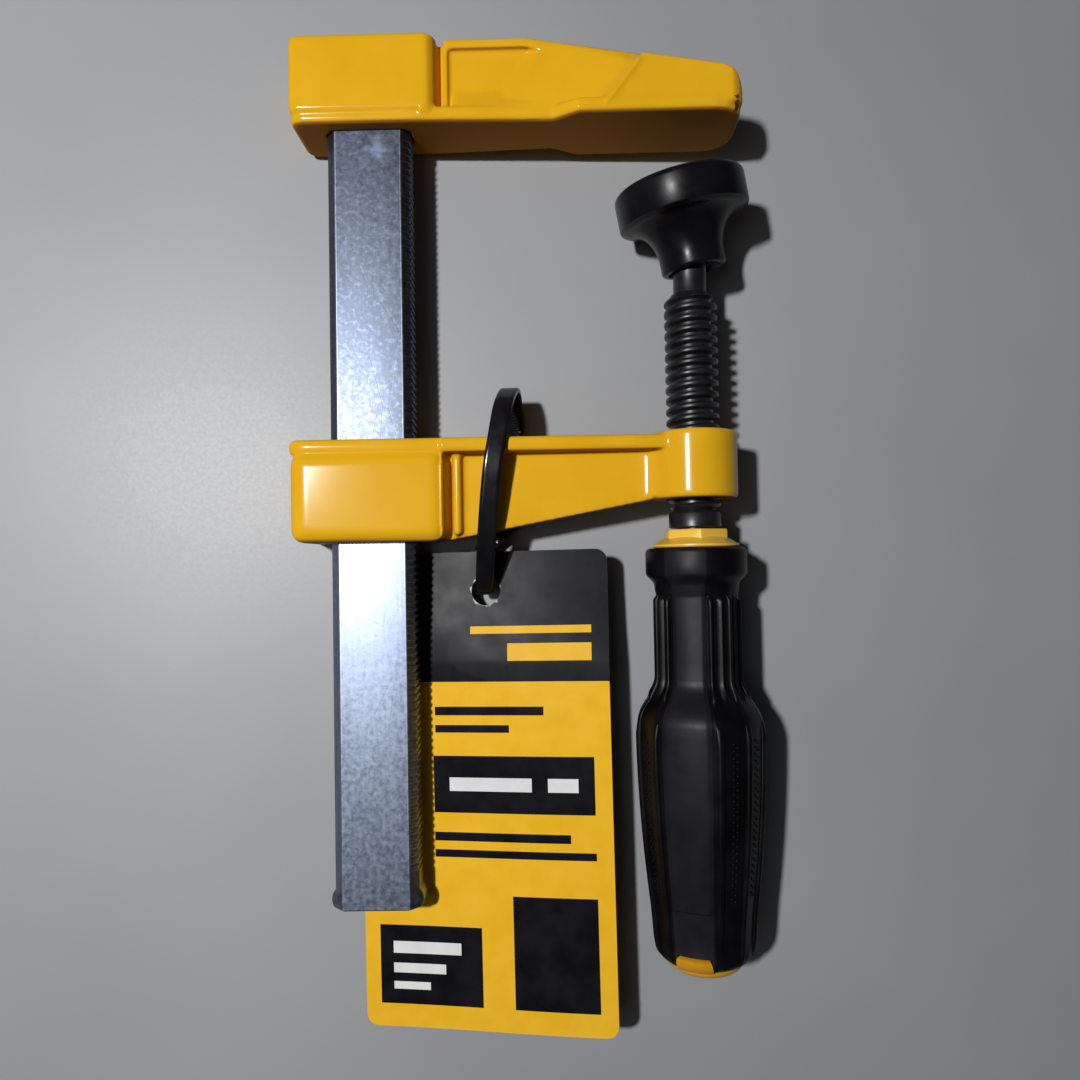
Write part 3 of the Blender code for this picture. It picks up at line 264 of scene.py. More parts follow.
def moulded_black(name, dark, light, rough, grain=650, depth=0.00003, shine=0.25):
    """Black plastic or rubber with a moulded grain."""
    look = Finish(name, dark, rough)
    look.put("Specular IOR Level", shine)
    look.tint(look.wander(120, 3, margin=0.35), dark, light)
    look.roughen(240, 4, rough - 0.06, rough + 0.06)
    look.bumps(look.noise(grain, 3, 0.6), depth, 0.5)
    return look.made


COLLAR_SHEEN_MIDDLE = HANDLE_TOP + Vector((0, -0.001, 0))
COLLAR_SHEEN_REACH = 0.014


def moulded_yellow():
    """Hard plastic of the handle's core, with a painted sheen that makes its collar paler."""
    look = Finish("yellow_plastic", YELLOW, 0.36)
    colour = look.blend(look.wander(160, 3), (0.62, 0.28, 0.006), (0.72, 0.36, 0.012))
    # Painted sheen: the colour is lightened round the collar, where its gloss catches the light.
    collar = look.near(CLAMP @ COLLAR_SHEEN_MIDDLE, COLLAR_SHEEN_REACH)
    look.tint(collar, colour, (0.86, 0.52, 0.06))
    look.put("Specular IOR Level", 0.6)
    look.roughen(300, 3, 0.24, 0.4)
    look.bumps(look.noise(400, 3), 0.00008, 0.5)
    return look.made


def plain_steel():
    """Ground steel of the hidden shoe and spring."""
    look = Finish("plain_steel", (0.5, 0.5, 0.52), 0.35, 1.0)
    look.tint(look.noise(400, 3), (0.42, 0.42, 0.44), (0.6, 0.6, 0.62))
    look.roughen(600, 3, 0.25, 0.45)
    look.bumps(look.noise(1, 3, 0.5, look.stretched((1200, 80, 1200))), 0.00002, 0.4)
    return look.made


WORN_REACH = 0.0030  # from the middle of the card's hole


def card_ink(name, dark, light, rough):
    """Printed card under a wavy clear film, worn white round its hole."""
    look = Finish(name, dark, rough)
    colour = look.blend(look.wander(240, 4, margin=0.35), dark, light)
    rim = look.near(CARD_FRAME.translation, WORN_REACH, 0.0004, 700)
    look.tint(rim, colour, (0.6, 0.6, 0.58))
    look.roughen(180, 3, rough * 0.8, rough * 1.2)
    look.put("Specular IOR Level", 0.04)
    look.put("Coat Weight", 0.12)
    look.put("Coat Roughness", 0.05)
    look.bumps(look.noise(60, 2), 0.0002, 0.4)
    look.bumps(look.noise(900, 2), 0.00001, 0.3)
    return look.made


def card_edge():
    """The card's white core."""
    look = Finish("card_edge", (0.75, 0.75, 0.74), 0.4)
    look.tint(look.noise(900, 3), (0.62, 0.62, 0.62), (0.85, 0.85, 0.84))
    look.roughen(700, 2, 0.3, 0.5)
    return look.made


def floor_paint():
    look = Finish("floor_paint", (0.34, 0.345, 0.355), 0.42)
    tone = look.wander(14, 4, margin=0.35)
    look.tint(tone, (0.325, 0.33, 0.345), (0.355, 0.36, 0.37))
    look.roughen(1500, 3, 0.43, 0.47)
    look.bumps(look.noise(2600, 2), 0.00001, 0.3)
    return look.made


# Making pieces


def put_in_scene(name, data):
    made = bpy.data.objects.new(name, data)
    bpy.context.scene.collection.objects.link(made)
    return made


def weld(bm, reach=WELD):
    bmesh.ops.remove_doubles(bm, verts=bm.verts, dist=reach)


def face_out(bm):
    bmesh.ops.recalc_face_normals(bm, faces=bm.faces)


def as_mesh(bm, name):
    """The bmesh as a mesh; the bmesh goes."""
    mesh = bpy.data.meshes.new(name)
    bm.to_mesh(mesh)
    bm.free()
    return mesh


def show(name, shape, body, materials, replaced, sharp):
    """A finished piece that rides on a body."""
    mesh = shape
    if isinstance(shape, bmesh.types.BMesh):
        weld(shape)
        bmesh.ops.dissolve_degenerate(shape, edges=shape.edges, dist=WELD / 2)
        face_out(shape)
        mesh = as_mesh(shape, name)
    made = put_in_scene(name, mesh)
    for material in materials:
        mesh.materials.append(material)
    mesh.shade_smooth()
    mesh.set_sharp_from_angle(angle=math.radians(sharp))
    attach(made, body)
    if replaced:
        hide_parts(*replaced)


def bake(obj):
    """The object's mesh with its modifiers applied; the object goes."""
    graph = bpy.context.evaluated_depsgraph_get()
    mesh = bpy.data.meshes.new_from_object(obj.evaluated_get(graph))
    bpy.data.objects.remove(obj)
    return mesh


def carve(mesh, cutters):
    """The mesh less the space of each cutter."""
    body = put_in_scene("uncut", mesh)
    tools = [put_in_scene("cutter", cutter) for cutter in cutters]
    for tool in tools:
        modifier = body.modifiers.new("Cut", "BOOLEAN")
        modifier.operation = "DIFFERENCE"
        modifier.solver = "EXACT"
        modifier.object = tool
    mesh = bake(body)
    for tool in tools:
        bpy.data.objects.remove(tool)
    return mesh


def ring(bm, points, place):
    return [bm.verts.new(place @ Vector(point)) for point in points]


def bridge(bm, rings):
    """Faces between neighbouring rings, of as many points each or of one."""
    for above, below in zip(rings, rings[1:]):
        count = max(len(above), len(below))
        if len(above) == 1:
            above = above * count
        if len(below) == 1:
            below = below * count
        for i in range(count):
            j = (i + 1) % count
            corners = list(dict.fromkeys((above[i], below[i], below[j], above[j])))
            if len(corners) > 2:
                bm.faces.new(corners)


def stack(bm, rings):
    """A closed shape whose sections are these rings."""
    bridge(bm, rings)
    bm.faces.new(rings[0])
    bm.faces.new(list(reversed(rings[-1])))


def block(rows):
    """A closed mesh from rows of points, each the outline of one section."""
    bm = bmesh.new()
    stack(bm, [ring(bm, row, Matrix.Identity(4)) for row in rows])
    bmesh.ops.triangulate(bm, faces=bm.faces)
    face_out(bm)
    return as_mesh(bm, "block")


def both_sides(rows):
    """The same block on the casting's front and back."""
    return [block([[(x, y, side * z) for x, y, z in row] for row in rows]) for side in (1, -1)]


def rectangle(left, low, right, high):
    return ((left, low), (right, low), (right, high), (left, high))


def cuboid(low, high):
    corners = rectangle(*low[:2], *high[:2])
    return [[(x, y, z) for x, y in corners] for z in (low[2], high[2])]


def rounded(corners, steps):
    """The outline through these (x, y, radius) corners, with an arc at each one."""
    points = []
    for i, (x, y, radius) in enumerate(corners):
        corner = Vector((x, y))
        before = (Vector(corners[i - 1][:2]) - corner).normalized()
        after = (Vector(corners[(i + 1) % len(corners)][:2]) - corner).normalized()
        half = before.angle(after) / 2
        centre = corner + (before + after).normalized() * radius / math.sin(half)
        first = before * radius / math.tan(half) + corner - centre
        last = after * radius / math.tan(half) + corner - centre
        start = math.atan2(first.y, first.x)
        sweep = (math.atan2(last.y, last.x) - start + math.pi) % math.tau - math.pi
        for step in range(steps + 1):
            angle = start + sweep * step / steps
            points.append(centre + radius * Vector((math.cos(angle), math.sin(angle))))
    return points


def on_circle(radius, y, angle):
    """A point round the Y axis, with the angle from straight up towards +X."""
    return (radius * math.sin(angle), y, radius * math.cos(angle))


def lathe(bm, profile, place, steps=96):
    """A round shape about Y from (radius, y) points."""
    angles = [math.tau * i / steps for i in range(steps)]
    rings = []
    for radius, y in profile:
        points = [(0, y, 0)] if radius < WELD else [on_circle(radius, y, angle) for angle in angles]
        rings.append(ring(bm, points, place))
    bridge(bm, rings)


def arc(radius, start, end, steps):
    """(radius, y) points of a ball's outline, with the angle from its top."""
    angles = [start + (end - start) * i / steps for i in range(steps + 1)]
    return [(radius * math.sin(a), radius * math.cos(a)) for a in angles]


def quarter(steps):
    """The sine and cosine at even steps of a quarter turn."""
    return arc(1, 0, math.pi / 2, steps)


def ease(share):
    """A smooth start and end for a share that runs from 0 to 1."""
    share = min(1, max(0, share))
    return share * share * (3 - 2 * share)


def sheet(outline, thickness, hole):
    """The mesh of a flat shape with a hole and a thickness."""
    curve = bpy.data.curves.new("outline", "CURVE")
    curve.dimensions = "2D"
    curve.fill_mode = "BOTH"
    curve.extrude = thickness / 2
    for points in (outline, hole):
        spline = curve.splines.new("POLY")
        spline.points.add(len(points) - 1)
        for point, (x, y) in zip(spline.points, points):
            point.co = (x, y, 0, 1)
        spline.use_cyclic_u = True
    return bake(put_in_scene("outline", curve))


# Jaws

VOXEL = 0.00033
ARM_BACK = (-0.0295, 0.0155)  # where the arm's back starts to fall towards the tip
ARM_BACK_FALL = 6.5 / 38.7
CREST_START = (-0.0144, 0.0022)  # a point on the slanted crest of the nose
CREST_WAY = (0.608, 0.794)
# The face beside the crest: (distance from it towards the tip, height over the middle plane)
NOSE_RAMP = (
    (-0.0185, 0.0040),
    (-0.0160, 0.0050),
    (-0.0110, 0.0055),
    (-0.0050, 0.0059),
    (-0.0020, 0.0069),
    (0, 0.0087),
    (0.0005, 0.0084),
)
NOSE_CUT = ((-0.0034, 0.0066), (-0.0020, 0.0069), (0, 0.0087))
CREST_SHOULDER = -0.003  # nearer to the crest than this, the ramp's back edge is more rounded
BLOCK_END = ((-0.048, 0.0073), (-0.0468, 0.0071), (-0.0459, 0.0064), (-0.04545, 0.0052))  # (x, z)
ARM_FOOT = ((0.0015, 0.0057), (0.0029, 0.00565), (0.0062, 0.00415), (0.0062, 0), (0.0015, 0))  # (y, z)
# (place, reach)
NOSE_CHIPS = (
    ((0.0066, 0.0025, 0.0076), 0.0006),
    ((0.0074, 0.0021, 0.0072), 0.0007),
    ((0.0078, 0.0014, 0.0069), 0.0007),
    ((0.0080, 0.0007, 0.0066), 0.0006),
)
SLIDE_CHIPS = (((-0.0438, -0.0668, 0.0042), 0.0005),)
DRAFT = 0.028  # slope of the sliding block's faces
DRAFT_MIDDLE = -0.0690  # the x where the draft takes nothing off
DRAFT_END = -0.0455
DRAFT_FROM = 0.0048  # height over the middle plane where the draft sets in
DRAFT_FADE = 0.002


def cast(node, passes, added=(), cutters=()):
    """The CAD solid's shape with the soft edges and corners of a painted casting."""
    mesh = NODES[node].data.copy()
    mesh.materials.clear()
    mesh.transform(CLAMP.inverted())
    bm = bmesh.new()
    bm.from_mesh(mesh)
    weld(bm)
    bm.to_mesh(mesh)
    bm.free()
    if cutters:
        mesh = carve(mesh, cutters)
    bm = bmesh.new()
    for piece in (mesh, *added):
        bm.from_mesh(piece)
    made = put_in_scene("unfinished", as_mesh(bm, node))
    remesh = made.modifiers.new("Remesh", "REMESH")
    remesh.mode = "VOXEL"
    remesh.voxel_size = VOXEL
    smooth = made.modifiers.new("Smooth", "SMOOTH")
    smooth.factor = 0.5
    smooth.iterations = passes
    mesh = bake(made)
    mesh.transform(CLAMP)
    return mesh


def across_crest(off, y):
    """The x at this distance from the crest, towards the tip, and at this y."""
    x0, y0 = CREST_START
    along_x, along_y = CREST_WAY
    return x0 + (off + (y - y0) * along_x) / along_y


def back_y(off, inset):
    """The y where a line beside the crest meets the arm's falling back, less an inset."""
    x0, y0 = ARM_BACK
    y = 0.012
    for _ in range(8):
        y = y0 - inset - ARM_BACK_FALL * (across_crest(off, y) - x0)
    return y


def nose_ramp():
    """The arm's face as it rises to the crest of the thick nose."""
    rows = []
    for off, level in NOSE_RAMP:
        near_back = back_y(off, 0.003 if off > CREST_SHOULDER else 0.0018)
        places = ((0.0012, level), (near_back, level), (back_y(off, 0.0006), min(level, 0.0056)))
        top = [(across_crest(off, y), y, z) for y, z in places]
        rows.append(top + [(across_crest(off, y), y, 0) for y, z in reversed(places)])
    return both_sides(rows)


def nose_space():
    """What the CAD solid has above the ramp."""
    rows = []
    for off, level in NOSE_CUT:
        places = [(across_crest(off, y), y) for y in (0.0026, 0.013)]
        rows.append([(x, y, level) for x, y in places] + [(x, y, 0.013) for x, y in reversed(places)])
    return both_sides(rows)


def block_end():
    """The soft end of the fixed jaw's block."""
    foot = [(BLOCK_END[-1][0], 0), (BLOCK_END[0][0], 0)]
    return both_sides([[(x, y, z) for x, z in (*BLOCK_END, *foot)] for y in (0.0015, 0.0154)])


def draft_block(mesh):
    """The sliding jaw's block is cast a little thinner towards the throat."""
    for vert in mesh.vertices:
        at = CLAMP.inverted() @ vert.co
        if at.x < DRAFT_END and abs(at.z) > DRAFT_FROM:
            share = ease((abs(at.z) - DRAFT_FROM) / DRAFT_FADE)
            at.z -= math.copysign(share * DRAFT * (at.x - DRAFT_MIDDLE), at.z)
            vert.co = CLAMP @ at


def make_fixed_jaw():
    border = block(cuboid((-0.0442, 0.0015, -0.00515), (-0.0433, 0.0152, 0.00515)))
    groove = both_sides(cuboid((-0.0454, 0.003, 0.0032), (-0.0442, 0.017, 0.009)))
    # The recess runs out into the flange along its lower side
    run_out = both_sides([[(x, y, z) for y, z in ARM_FOOT] for x in (-0.0425, -0.0135)])
    added = nose_ramp() + block_end() + [border] + run_out
    mesh = cast("fixed_jaw", 4, added, nose_space() + groove)
    paint = jaw_paint("fixed_jaw_paint", NOSE_CHIPS)
    show("fixed_jaw_casting", mesh, "frame", [paint], ["fixed_jaw"], 180)


def make_sliding_jaw():
    mesh = cast("sliding_jaw", 5)
    draft_block(mesh)
    paint = jaw_paint("sliding_jaw_paint", SLIDE_CHIPS, glossy_boss=True)
    show("sliding_jaw_casting", mesh, "sliding_jaw", [paint], ["sliding_jaw"], 180)


# Bar

BAR_TOP = 0.012
BAR_END = -0.1404
BAR_ARRIS = 0.00035
TOOTH_TOP = -0.0015
TOOTH_PITCH = 0.0013
TOOTH_DEPTH = 0.00028
TOOTH_SHARES = (0, 0.12, 0.5, 0.62)  # of the pitch, where a tooth's side starts or ends
PLAIN_END = 0.0062  # length without teeth at the bar's free end
STOP_HEIGHT = 0.0034  # of the upset corners at that end
STOP_BULGE = 0.0007


def bar_section():
    w, t, b = BAR_HALF_WIDTH, BAR_HALF_THICKNESS, BAR_BEVEL
    side = [(w - b, t), (w, t - b), (w, b - t), (w - b, -t)]
    return rounded([(x, z, BAR_ARRIS) for x, z in side + [(-x, -z) for x, z in side]], 4)


def bar_stations():
    """The y of each section, close together at the teeth and at the upset corners."""
    stations = [BAR_TOP, BAR_TOP - 0.002]
    y = TOOTH_TOP
    while y > BAR_END + PLAIN_END:
        stations += [y - TOOTH_PITCH * share for share in TOOTH_SHARES]
        y -= TOOTH_PITCH
    stations += [BAR_END + 0.0052 - 0.00035 * i for i in range(14)]
    return stations + [BAR_END + 0.0003, BAR_END + 0.0001, BAR_END]


def bar_ring(section, y):
    """The section at this y, with the dip of a tooth or the bulge of the upset corners."""
    from_end = y - BAR_END
    phase = (TOOTH_TOP - y) / TOOTH_PITCH % 1
    toothed = y <= TOOTH_TOP and from_end > PLAIN_END
    dip = TOOTH_DEPTH if toothed and 0.09 < phase < 0.55 else 0
    bulge = 0
    if from_end < STOP_HEIGHT:
        bulge = STOP_BULGE * math.sin(math.pi * from_end / STOP_HEIGHT) ** 0.7
    shrink = 0.00012 if from_end < 0.0002 else 0
    if from_end < 0.00005:
        shrink = 0.0004
    points = []
    for x, z in section:
        way = math.copysign(1, x)
        out = max(0, (abs(x) - (BAR_HALF_WIDTH - BAR_BEVEL)) / BAR_BEVEL)
        tooth = dip * max(0, min(1, (out - 0.45) / 0.3)) if x > 0 else 0
        new_x = x - shrink * way - tooth + way * bulge * out
        points.append((BAR_X + new_x, y, z - math.copysign(shrink, z)))
    return points


def make_bar():
    """The bar with rounded arrises, teeth and the upset corners of its free end."""
    section = bar_section()
    bm = bmesh.new()
    stack(bm, [ring(bm, bar_ring(section, y), CLAMP) for y in bar_stations()])
    show("plated_bar", bm, "frame", [plated_steel()], ["bar"], 28)


# Screw, measured from the centre of its ball

BALL_RADIUS = 0.0039
NECK_RADIUS = 0.003
THREAD_TOP = -0.0101
THREAD_BOTTOM = -0.05
THREAD_PITCH = 0.002
THREAD_CORE = 0.0035
THREAD_CHAMFER = 0.95  # slope of the thread's two ends
# (share of the pitch, radius)
THREAD_RISE = ((0.00, 0.0037), (0.14, 0.0037), (0.22, 0.0039), (0.30, 0.0046), (0.36, 0.00476))
THREAD_CREST = ((0.44, 0.0048), (0.60, 0.0048))
THREAD_FALL = ((0.68, 0.00476), (0.74, 0.0046), (0.82, 0.0039), (0.90, 0.00372))
THREAD_SHAPE = THREAD_RISE + THREAD_CREST + THREAD_FALL
# (radius, y)
NECK = ((NECK_RADIUS, -0.0098), (0.0031, -0.0102), (0.0031, -0.012), (0, -0.012))
SHANK_TOP = ((0, -0.049), (0.0034, -0.049), (0.0034, -0.0494), (0.0045, -0.0499), (0.0047, -0.0502))
SHANK_FOOT = ((0.0047, -0.0525), (0.0044, -0.0527), (0.0034, -0.0527))
TANG = ((0.0034, -0.0905), (0, -0.0905))


def thread_grid(bm, rows, steps):
    """Lines of points round the screw, each climbing by one pitch in its turn."""
    start = THREAD_BOTTOM - 2 * THREAD_PITCH
    grid = []
    for row in range(rows):
        turn, part = divmod(row, len(THREAD_SHAPE))
        share, radius = THREAD_SHAPE[part]
        points = []
        for step in range(steps):
            y = start + THREAD_PITCH * (share + turn + step / steps)
            y = min(THREAD_TOP, max(THREAD_BOTTOM, y))
            reach = THREAD_CORE + THREAD_CHAMFER * min(THREAD_TOP - y, y - THREAD_BOTTOM)
            points.append(on_circle(min(radius, reach), y, math.tau * step / steps))
        grid.append(ring(bm, points, SCREW_FRAME))
    return grid


def rolled_thread(bm, steps=72):
    """The thread as one closed skin: each line ends where it starts, one turn on."""
    turns = math.ceil((THREAD_TOP - THREAD_BOTTOM) / THREAD_PITCH) + 3
    turn_on = len(THREAD_SHAPE)
    grid = thread_grid(bm, turns * turn_on + 1, steps)
    for row in range((turns - 1) * turn_on):
        near, far = (grid[i] + [grid[i + turn_on][0]] for i in (row, row + 1))
        for step in range(steps):
            bm.faces.new((near[step], near[step + 1], far[step + 1], far[step]))
    weld(bm)
    bmesh.ops.dissolve_degenerate(bm, edges=bm.edges, dist=WELD)
    loose = [vert for vert in bm.verts if not vert.link_faces]
    bmesh.ops.delete(bm, geom=loose, context="VERTS")
    bmesh.ops.holes_fill(bm, edges=[edge for edge in bm.edges if edge.is_boundary], sides=0)


def make_screw():
    """The ball, neck, rolled thread and plain shank."""
    bm = bmesh.new()
    rolled_thread(bm)
    neck_start = math.pi - math.asin(NECK_RADIUS / BALL_RADIUS)
    lathe(bm, arc(BALL_RADIUS, 0, neck_start, 20) + list(NECK), SCREW_FRAME)
    lathe(bm, SHANK_TOP + SHANK_FOOT + TANG, SCREW_FRAME, 72)
    show("screw", bm, "screw", [black_steel()], ["spindle"], 40)


# Pad, measured from the centre of the ball

PAD_FACE = 0.0104
PAD_RADIUS = 0.0119
PAD_CORNER = 0.0012
PAD_RIM_END = PAD_FACE - 0.0063
PAD_UNDERCUT = 0.0007
HUB_RADIUS = 0.0059
HUB_END = -0.0053
HUB_STRAIGHT = 0.0022
HUB_CORNER = 0.0006
MOUTH_RADIUS = 0.0048
CAVITY_RADIUS = 0.0051
THROAT_RADIUS = 0.0041


def pad_profile():
    """From the face's middle round the rim, down the flare and up into the cavity."""
    profile = [(0, PAD_FACE), (PAD_RADIUS - 0.0015, PAD_FACE)]
    x, y = PAD_RADIUS - PAD_CORNER, PAD_FACE - PAD_CORNER
    profile += [(x + PAD_CORNER * sine, y + PAD_CORNER * cosine) for sine, cosine in quarter(8)]
    under = PAD_RADIUS - PAD_UNDERCUT
    flare_top = under - 0.0003
    profile += [(PAD_RADIUS, PAD_RIM_END + 0.0004), (PAD_RADIUS - 0.00012, PAD_RIM_END + 0.0001)]
    profile += [(under, PAD_RIM_END - 0.0001), (flare_top, PAD_RIM_END - 0.0003)]
    wide, y = flare_top - HUB_RADIUS, HUB_END + HUB_STRAIGHT
    high = PAD_RIM_END - 0.0003 - y
    profile += [(HUB_RADIUS + wide * (1 - sine), y + high * cosine) for sine, cosine in quarter(12)[1:]]
    x, y = HUB_RADIUS - HUB_CORNER, HUB_END + HUB_CORNER
    profile += [(x + HUB_CORNER * cosine, y - HUB_CORNER * sine) for sine, cosine in quarter(4)]
    throat = math.pi - math.asin(THROAT_RADIUS / CAVITY_RADIUS)
    return profile + [(MOUTH_RADIUS, HUB_END)] + arc(CAVITY_RADIUS, throat, 0, 16)


def make_pad():
    """The round pad on the screw's ball."""
    bm = bmesh.new()
    lathe(bm, pad_profile(), PAD_FRAME, 120)
    plastic = moulded_black("pad_plastic", (0.003, 0.003, 0.004), (0.006, 0.006, 0.008), 0.3, shine=0.17)
    show("pad", bm, "swivel_pad", [plastic], ["swivel_pad"], 32)


# Grip: a drop is a distance below its top edge

GRIP_TOP = -0.0033
GRIP_LENGTH = 0.0730
GRIP_BORE = 0.0055
LIP = 0.0091
LIP_CORNER = 0.0009
LIP_END = 0.0045
WAIST = 0.0076
WAIST_START = 0.0067
WAIST_END = 0.0232
BELLY = 0.0114
BELLY_START = 0.031
BELLY_END = 0.033
NOTCH = 0.0093
NOTCH_START = 0.064
NOTCH_HEIGHT = 0.0026
NOTCH_HALF = 0.36
HEEL = 0.0088
HEEL_CORNER = 0.0024
HEEL_TUCK = 0.0021
HEEL_START = GRIP_LENGTH - HEEL_CORNER
LEDGE = 0.0625
LEDGE_STEP = 0.00035
FLATTENING = 0.45  # share of the way from round to flat
PANEL_SINK = 0.00022  # of what isn't a wide panel's middle
RIB_HEIGHT = 0.0006
RIB_HALF = 0.058  # half the angle that a rib takes up
SMALL_RIB_HALF = 0.055
FIRST_RIB = math.radians(-52)  # from straight up, towards +X
RIB_SHARES = (-1, -0.94, -0.75, -0.4, 0, 0.4, 0.75, 0.94)
WIDE = math.tau / 6
NARROW = math.tau / 12
NOTCH_MIDDLES = [FIRST_RIB + WIDE / 2 + turn * math.tau / 3 for turn in range(3)]  # angles
# Start, end, and the lengths of the eased rise and fall
PANELS = (0.0072, GRIP_LENGTH, 0.0016, 0.0040)
WAIST_RIBS = (0.0084, 0.0272, 0.0010, 0.0012)
BELLY_RIBS = (0.0305, GRIP_LENGTH, 0.0012, 0.0040)

# A lengthwise line: its angle, its share of the radius when flat, its height as a share of a rib's,
# and whether it is on a wide panel's middle or on a rib that only the waist has
Line = namedtuple("Line", "angle flat rise panel waist_only")


def quarter_sag(share):
    """How far a quarter-round corner falls, at this share of its way."""
    return 1 - math.sqrt(max(0, 1 - share**2))


def grip_radius(drop):
    """The round shape that the panels and ribs are made on."""
    if drop < LIP_CORNER:
        return LIP - LIP_CORNER * quarter_sag(1 - drop / LIP_CORNER)
    if drop < LIP_END:
        return LIP
    if drop < WAIST_START:
        return LIP + (WAIST - LIP) * ease((drop - LIP_END) / (WAIST_START - LIP_END))
    if drop < WAIST_END:
        return WAIST
    if drop < BELLY_START:
        return WAIST + (BELLY - WAIST) * ease((drop - WAIST_END) / (BELLY_START - WAIST_END))
    if drop < BELLY_END:
        return BELLY
    if drop < NOTCH_START:
        return BELLY + (NOTCH - BELLY) * ((drop - BELLY_END) / (NOTCH_START - BELLY_END)) ** 1.8
    if drop < HEEL_START:
        return NOTCH + (HEEL - NOTCH) * (drop - NOTCH_START) / (HEEL_START - NOTCH_START)
    return HEEL - HEEL_TUCK * quarter_sag(min(1, (drop - HEEL_START) / HEEL_CORNER))


def panel_lines(start, width):
    """The lines of one panel, between the ribs at its two sides."""
    wide = width == WIDE
    half = width / 2
    inner = half - RIB_HALF
    count = 18 if wide else 11
    lines = []
    for i in range(count):
        off = inner * (2 * i / (count - 1) - 1)
        rise = 0 if wide else math.sqrt(max(0, 1 - (off / SMALL_RIB_HALF) ** 2))
        panel = wide and abs(off) < inner * 0.8
        lines.append(Line(start + half + off, math.cos(half) / math.cos(off), rise, panel, not wide))
    return lines


def grip_lines():
    """Three times round: a wide panel and two narrow ones, each after a rib."""
    lines = []
    angle = FIRST_RIB
    for _ in range(3):
        for width in (WIDE, NARROW, NARROW):
            for share in RIB_SHARES:
                lines.append(Line(angle + share * RIB_HALF, 1, math.sqrt(1 - share**2), False, False))
            lines += panel_lines(angle, width)
            angle += width
    return lines


def grip_drops():
    """The drop of each section, close together where the shape changes."""
    drops = [LIP_CORNER * share for share in (0, 0.08, 0.3, 0.6, 1)]
    drops += [0.003, LIP_END + 0.0001]
    drops += [LIP_END + (WAIST_START - LIP_END) * i / 6 for i in range(1, 7)]
    drops += [0.0078, 0.0084, 0.0087, 0.009, 0.0094, 0.0105, 0.015, 0.02, WAIST_END]
    drops += [WAIST_END + (BELLY_START - WAIST_END) * i / 12 for i in range(1, 13)]
    drops += [BELLY_END + (LEDGE - BELLY_END) * i / 16 for i in range(16)]
    drops += [LEDGE - 0.0001, LEDGE + 0.0002, LEDGE + 0.0012, 0.0655, 0.069]
    return drops + [HEEL_START + HEEL_CORNER * share for share in (0, 0.2, 0.4, 0.6, 0.75, 0.88, 0.96, 1)]


def between(drop, start, end, rise, fall):
    """1 between two drops, with an eased start and end."""
    return ease((drop - start) / rise) * ease((end - drop) / fall)


def grip_section(drop, lines):
    radius = grip_radius(drop)
    flattened = between(drop, *PANELS)
    waist = between(drop, *WAIST_RIBS)
    belly = between(drop, *BELLY_RIBS)
    points = []
    for line in lines:
        reach = radius * (1 - flattened * FLATTENING * (1 - line.flat))
        if not line.panel:
            reach -= PANEL_SINK * flattened
        elif drop > LEDGE:
            reach -= LEDGE_STEP
        reach += line.rise * (waist if line.waist_only else max(waist, belly)) * RIB_HEIGHT
        points.append(on_circle(reach, GRIP_TOP - drop, line.angle))
    return points


def grip_body():
    """The grip before its notches, with its second material on the wide panels."""
    lines = grip_lines()
    bm = bmesh.new()
    outer = [ring(bm, grip_section(drop, lines), HANDLE) for drop in grip_drops()]
    inner = []
    for drop in (GRIP_LENGTH, 0):
        points = [on_circle(GRIP_BORE, GRIP_TOP - drop, line.angle) for line in lines]
        inner.append(ring(bm, points, HANDLE))
    rings = outer + inner + [outer[0]]
    for above, below in zip(rings, rings[1:]):
        outside = above is not outer[-1] and below is not outer[0]
        for i, line in enumerate(lines):
            j = (i + 1) % len(lines)
            face = bm.faces.new((above[i], below[i], below[j], above[j]))
            face.material_index = int(outside and (line.panel or lines[j].panel))
    face_out(bm)
    return as_mesh(bm, "grip")


def wedge(bm, middle, y, half, inner, outer, steps):
    """The ring round one sector: out along its inner arc, back along its outer one."""
    points = []
    for radius, way in ((inner, 1), (outer, -1)):
        for i in range(steps + 1):
            points.append(on_circle(radius, y, middle - way * half + way * 2 * half * i / steps))
    return ring(bm, points, HANDLE)


def notch_cutter(middle):
    """The space of one yellow tongue, wider at the grip's end."""
    low = GRIP_TOP - GRIP_LENGTH - 0.001
    high = GRIP_TOP - GRIP_LENGTH + NOTCH_HEIGHT
    levels = ((low, NOTCH_HALF + 0.13), (high - 0.0008, NOTCH_HALF + 0.02), (high, NOTCH_HALF))
    bm = bmesh.new()
    stack(bm, [wedge(bm, middle, y, half, 0.006, 0.0125, 8) for y, half in levels])
    face_out(bm)
    return as_mesh(bm, "notch")


def make_grip():
    """The soft grip: ribs, smooth wide panels, dotted narrow ones and notches at its end."""
    mesh = carve(grip_body(), [notch_cutter(middle) for middle in NOTCH_MIDDLES])
    rubber = moulded_black(
        "grip_rubber", (0.002, 0.002, 0.0025), (0.005, 0.005, 0.006), 0.38, 800, 0.00002, 0.16
    )
    smooth = moulded_black(
        "grip_panels", (0.006, 0.006, 0.009), (0.010, 0.010, 0.014), 0.46, 500, 0.00002, 0.2
    )
    show("grip", mesh, "screw", [rubber, smooth], ["handle_grip"], 38)
    make_grip_dots(rubber)


DOTS = 46  # in one row
DOTS_START = 0.0335
DOT_PITCH = 0.0006
DOT_ZIGZAG = 0.035
DOT_SINK = 0.00012
DOT_SIZE = Matrix.Diagonal((0.00024, 0.00024, 0.00016, 1))


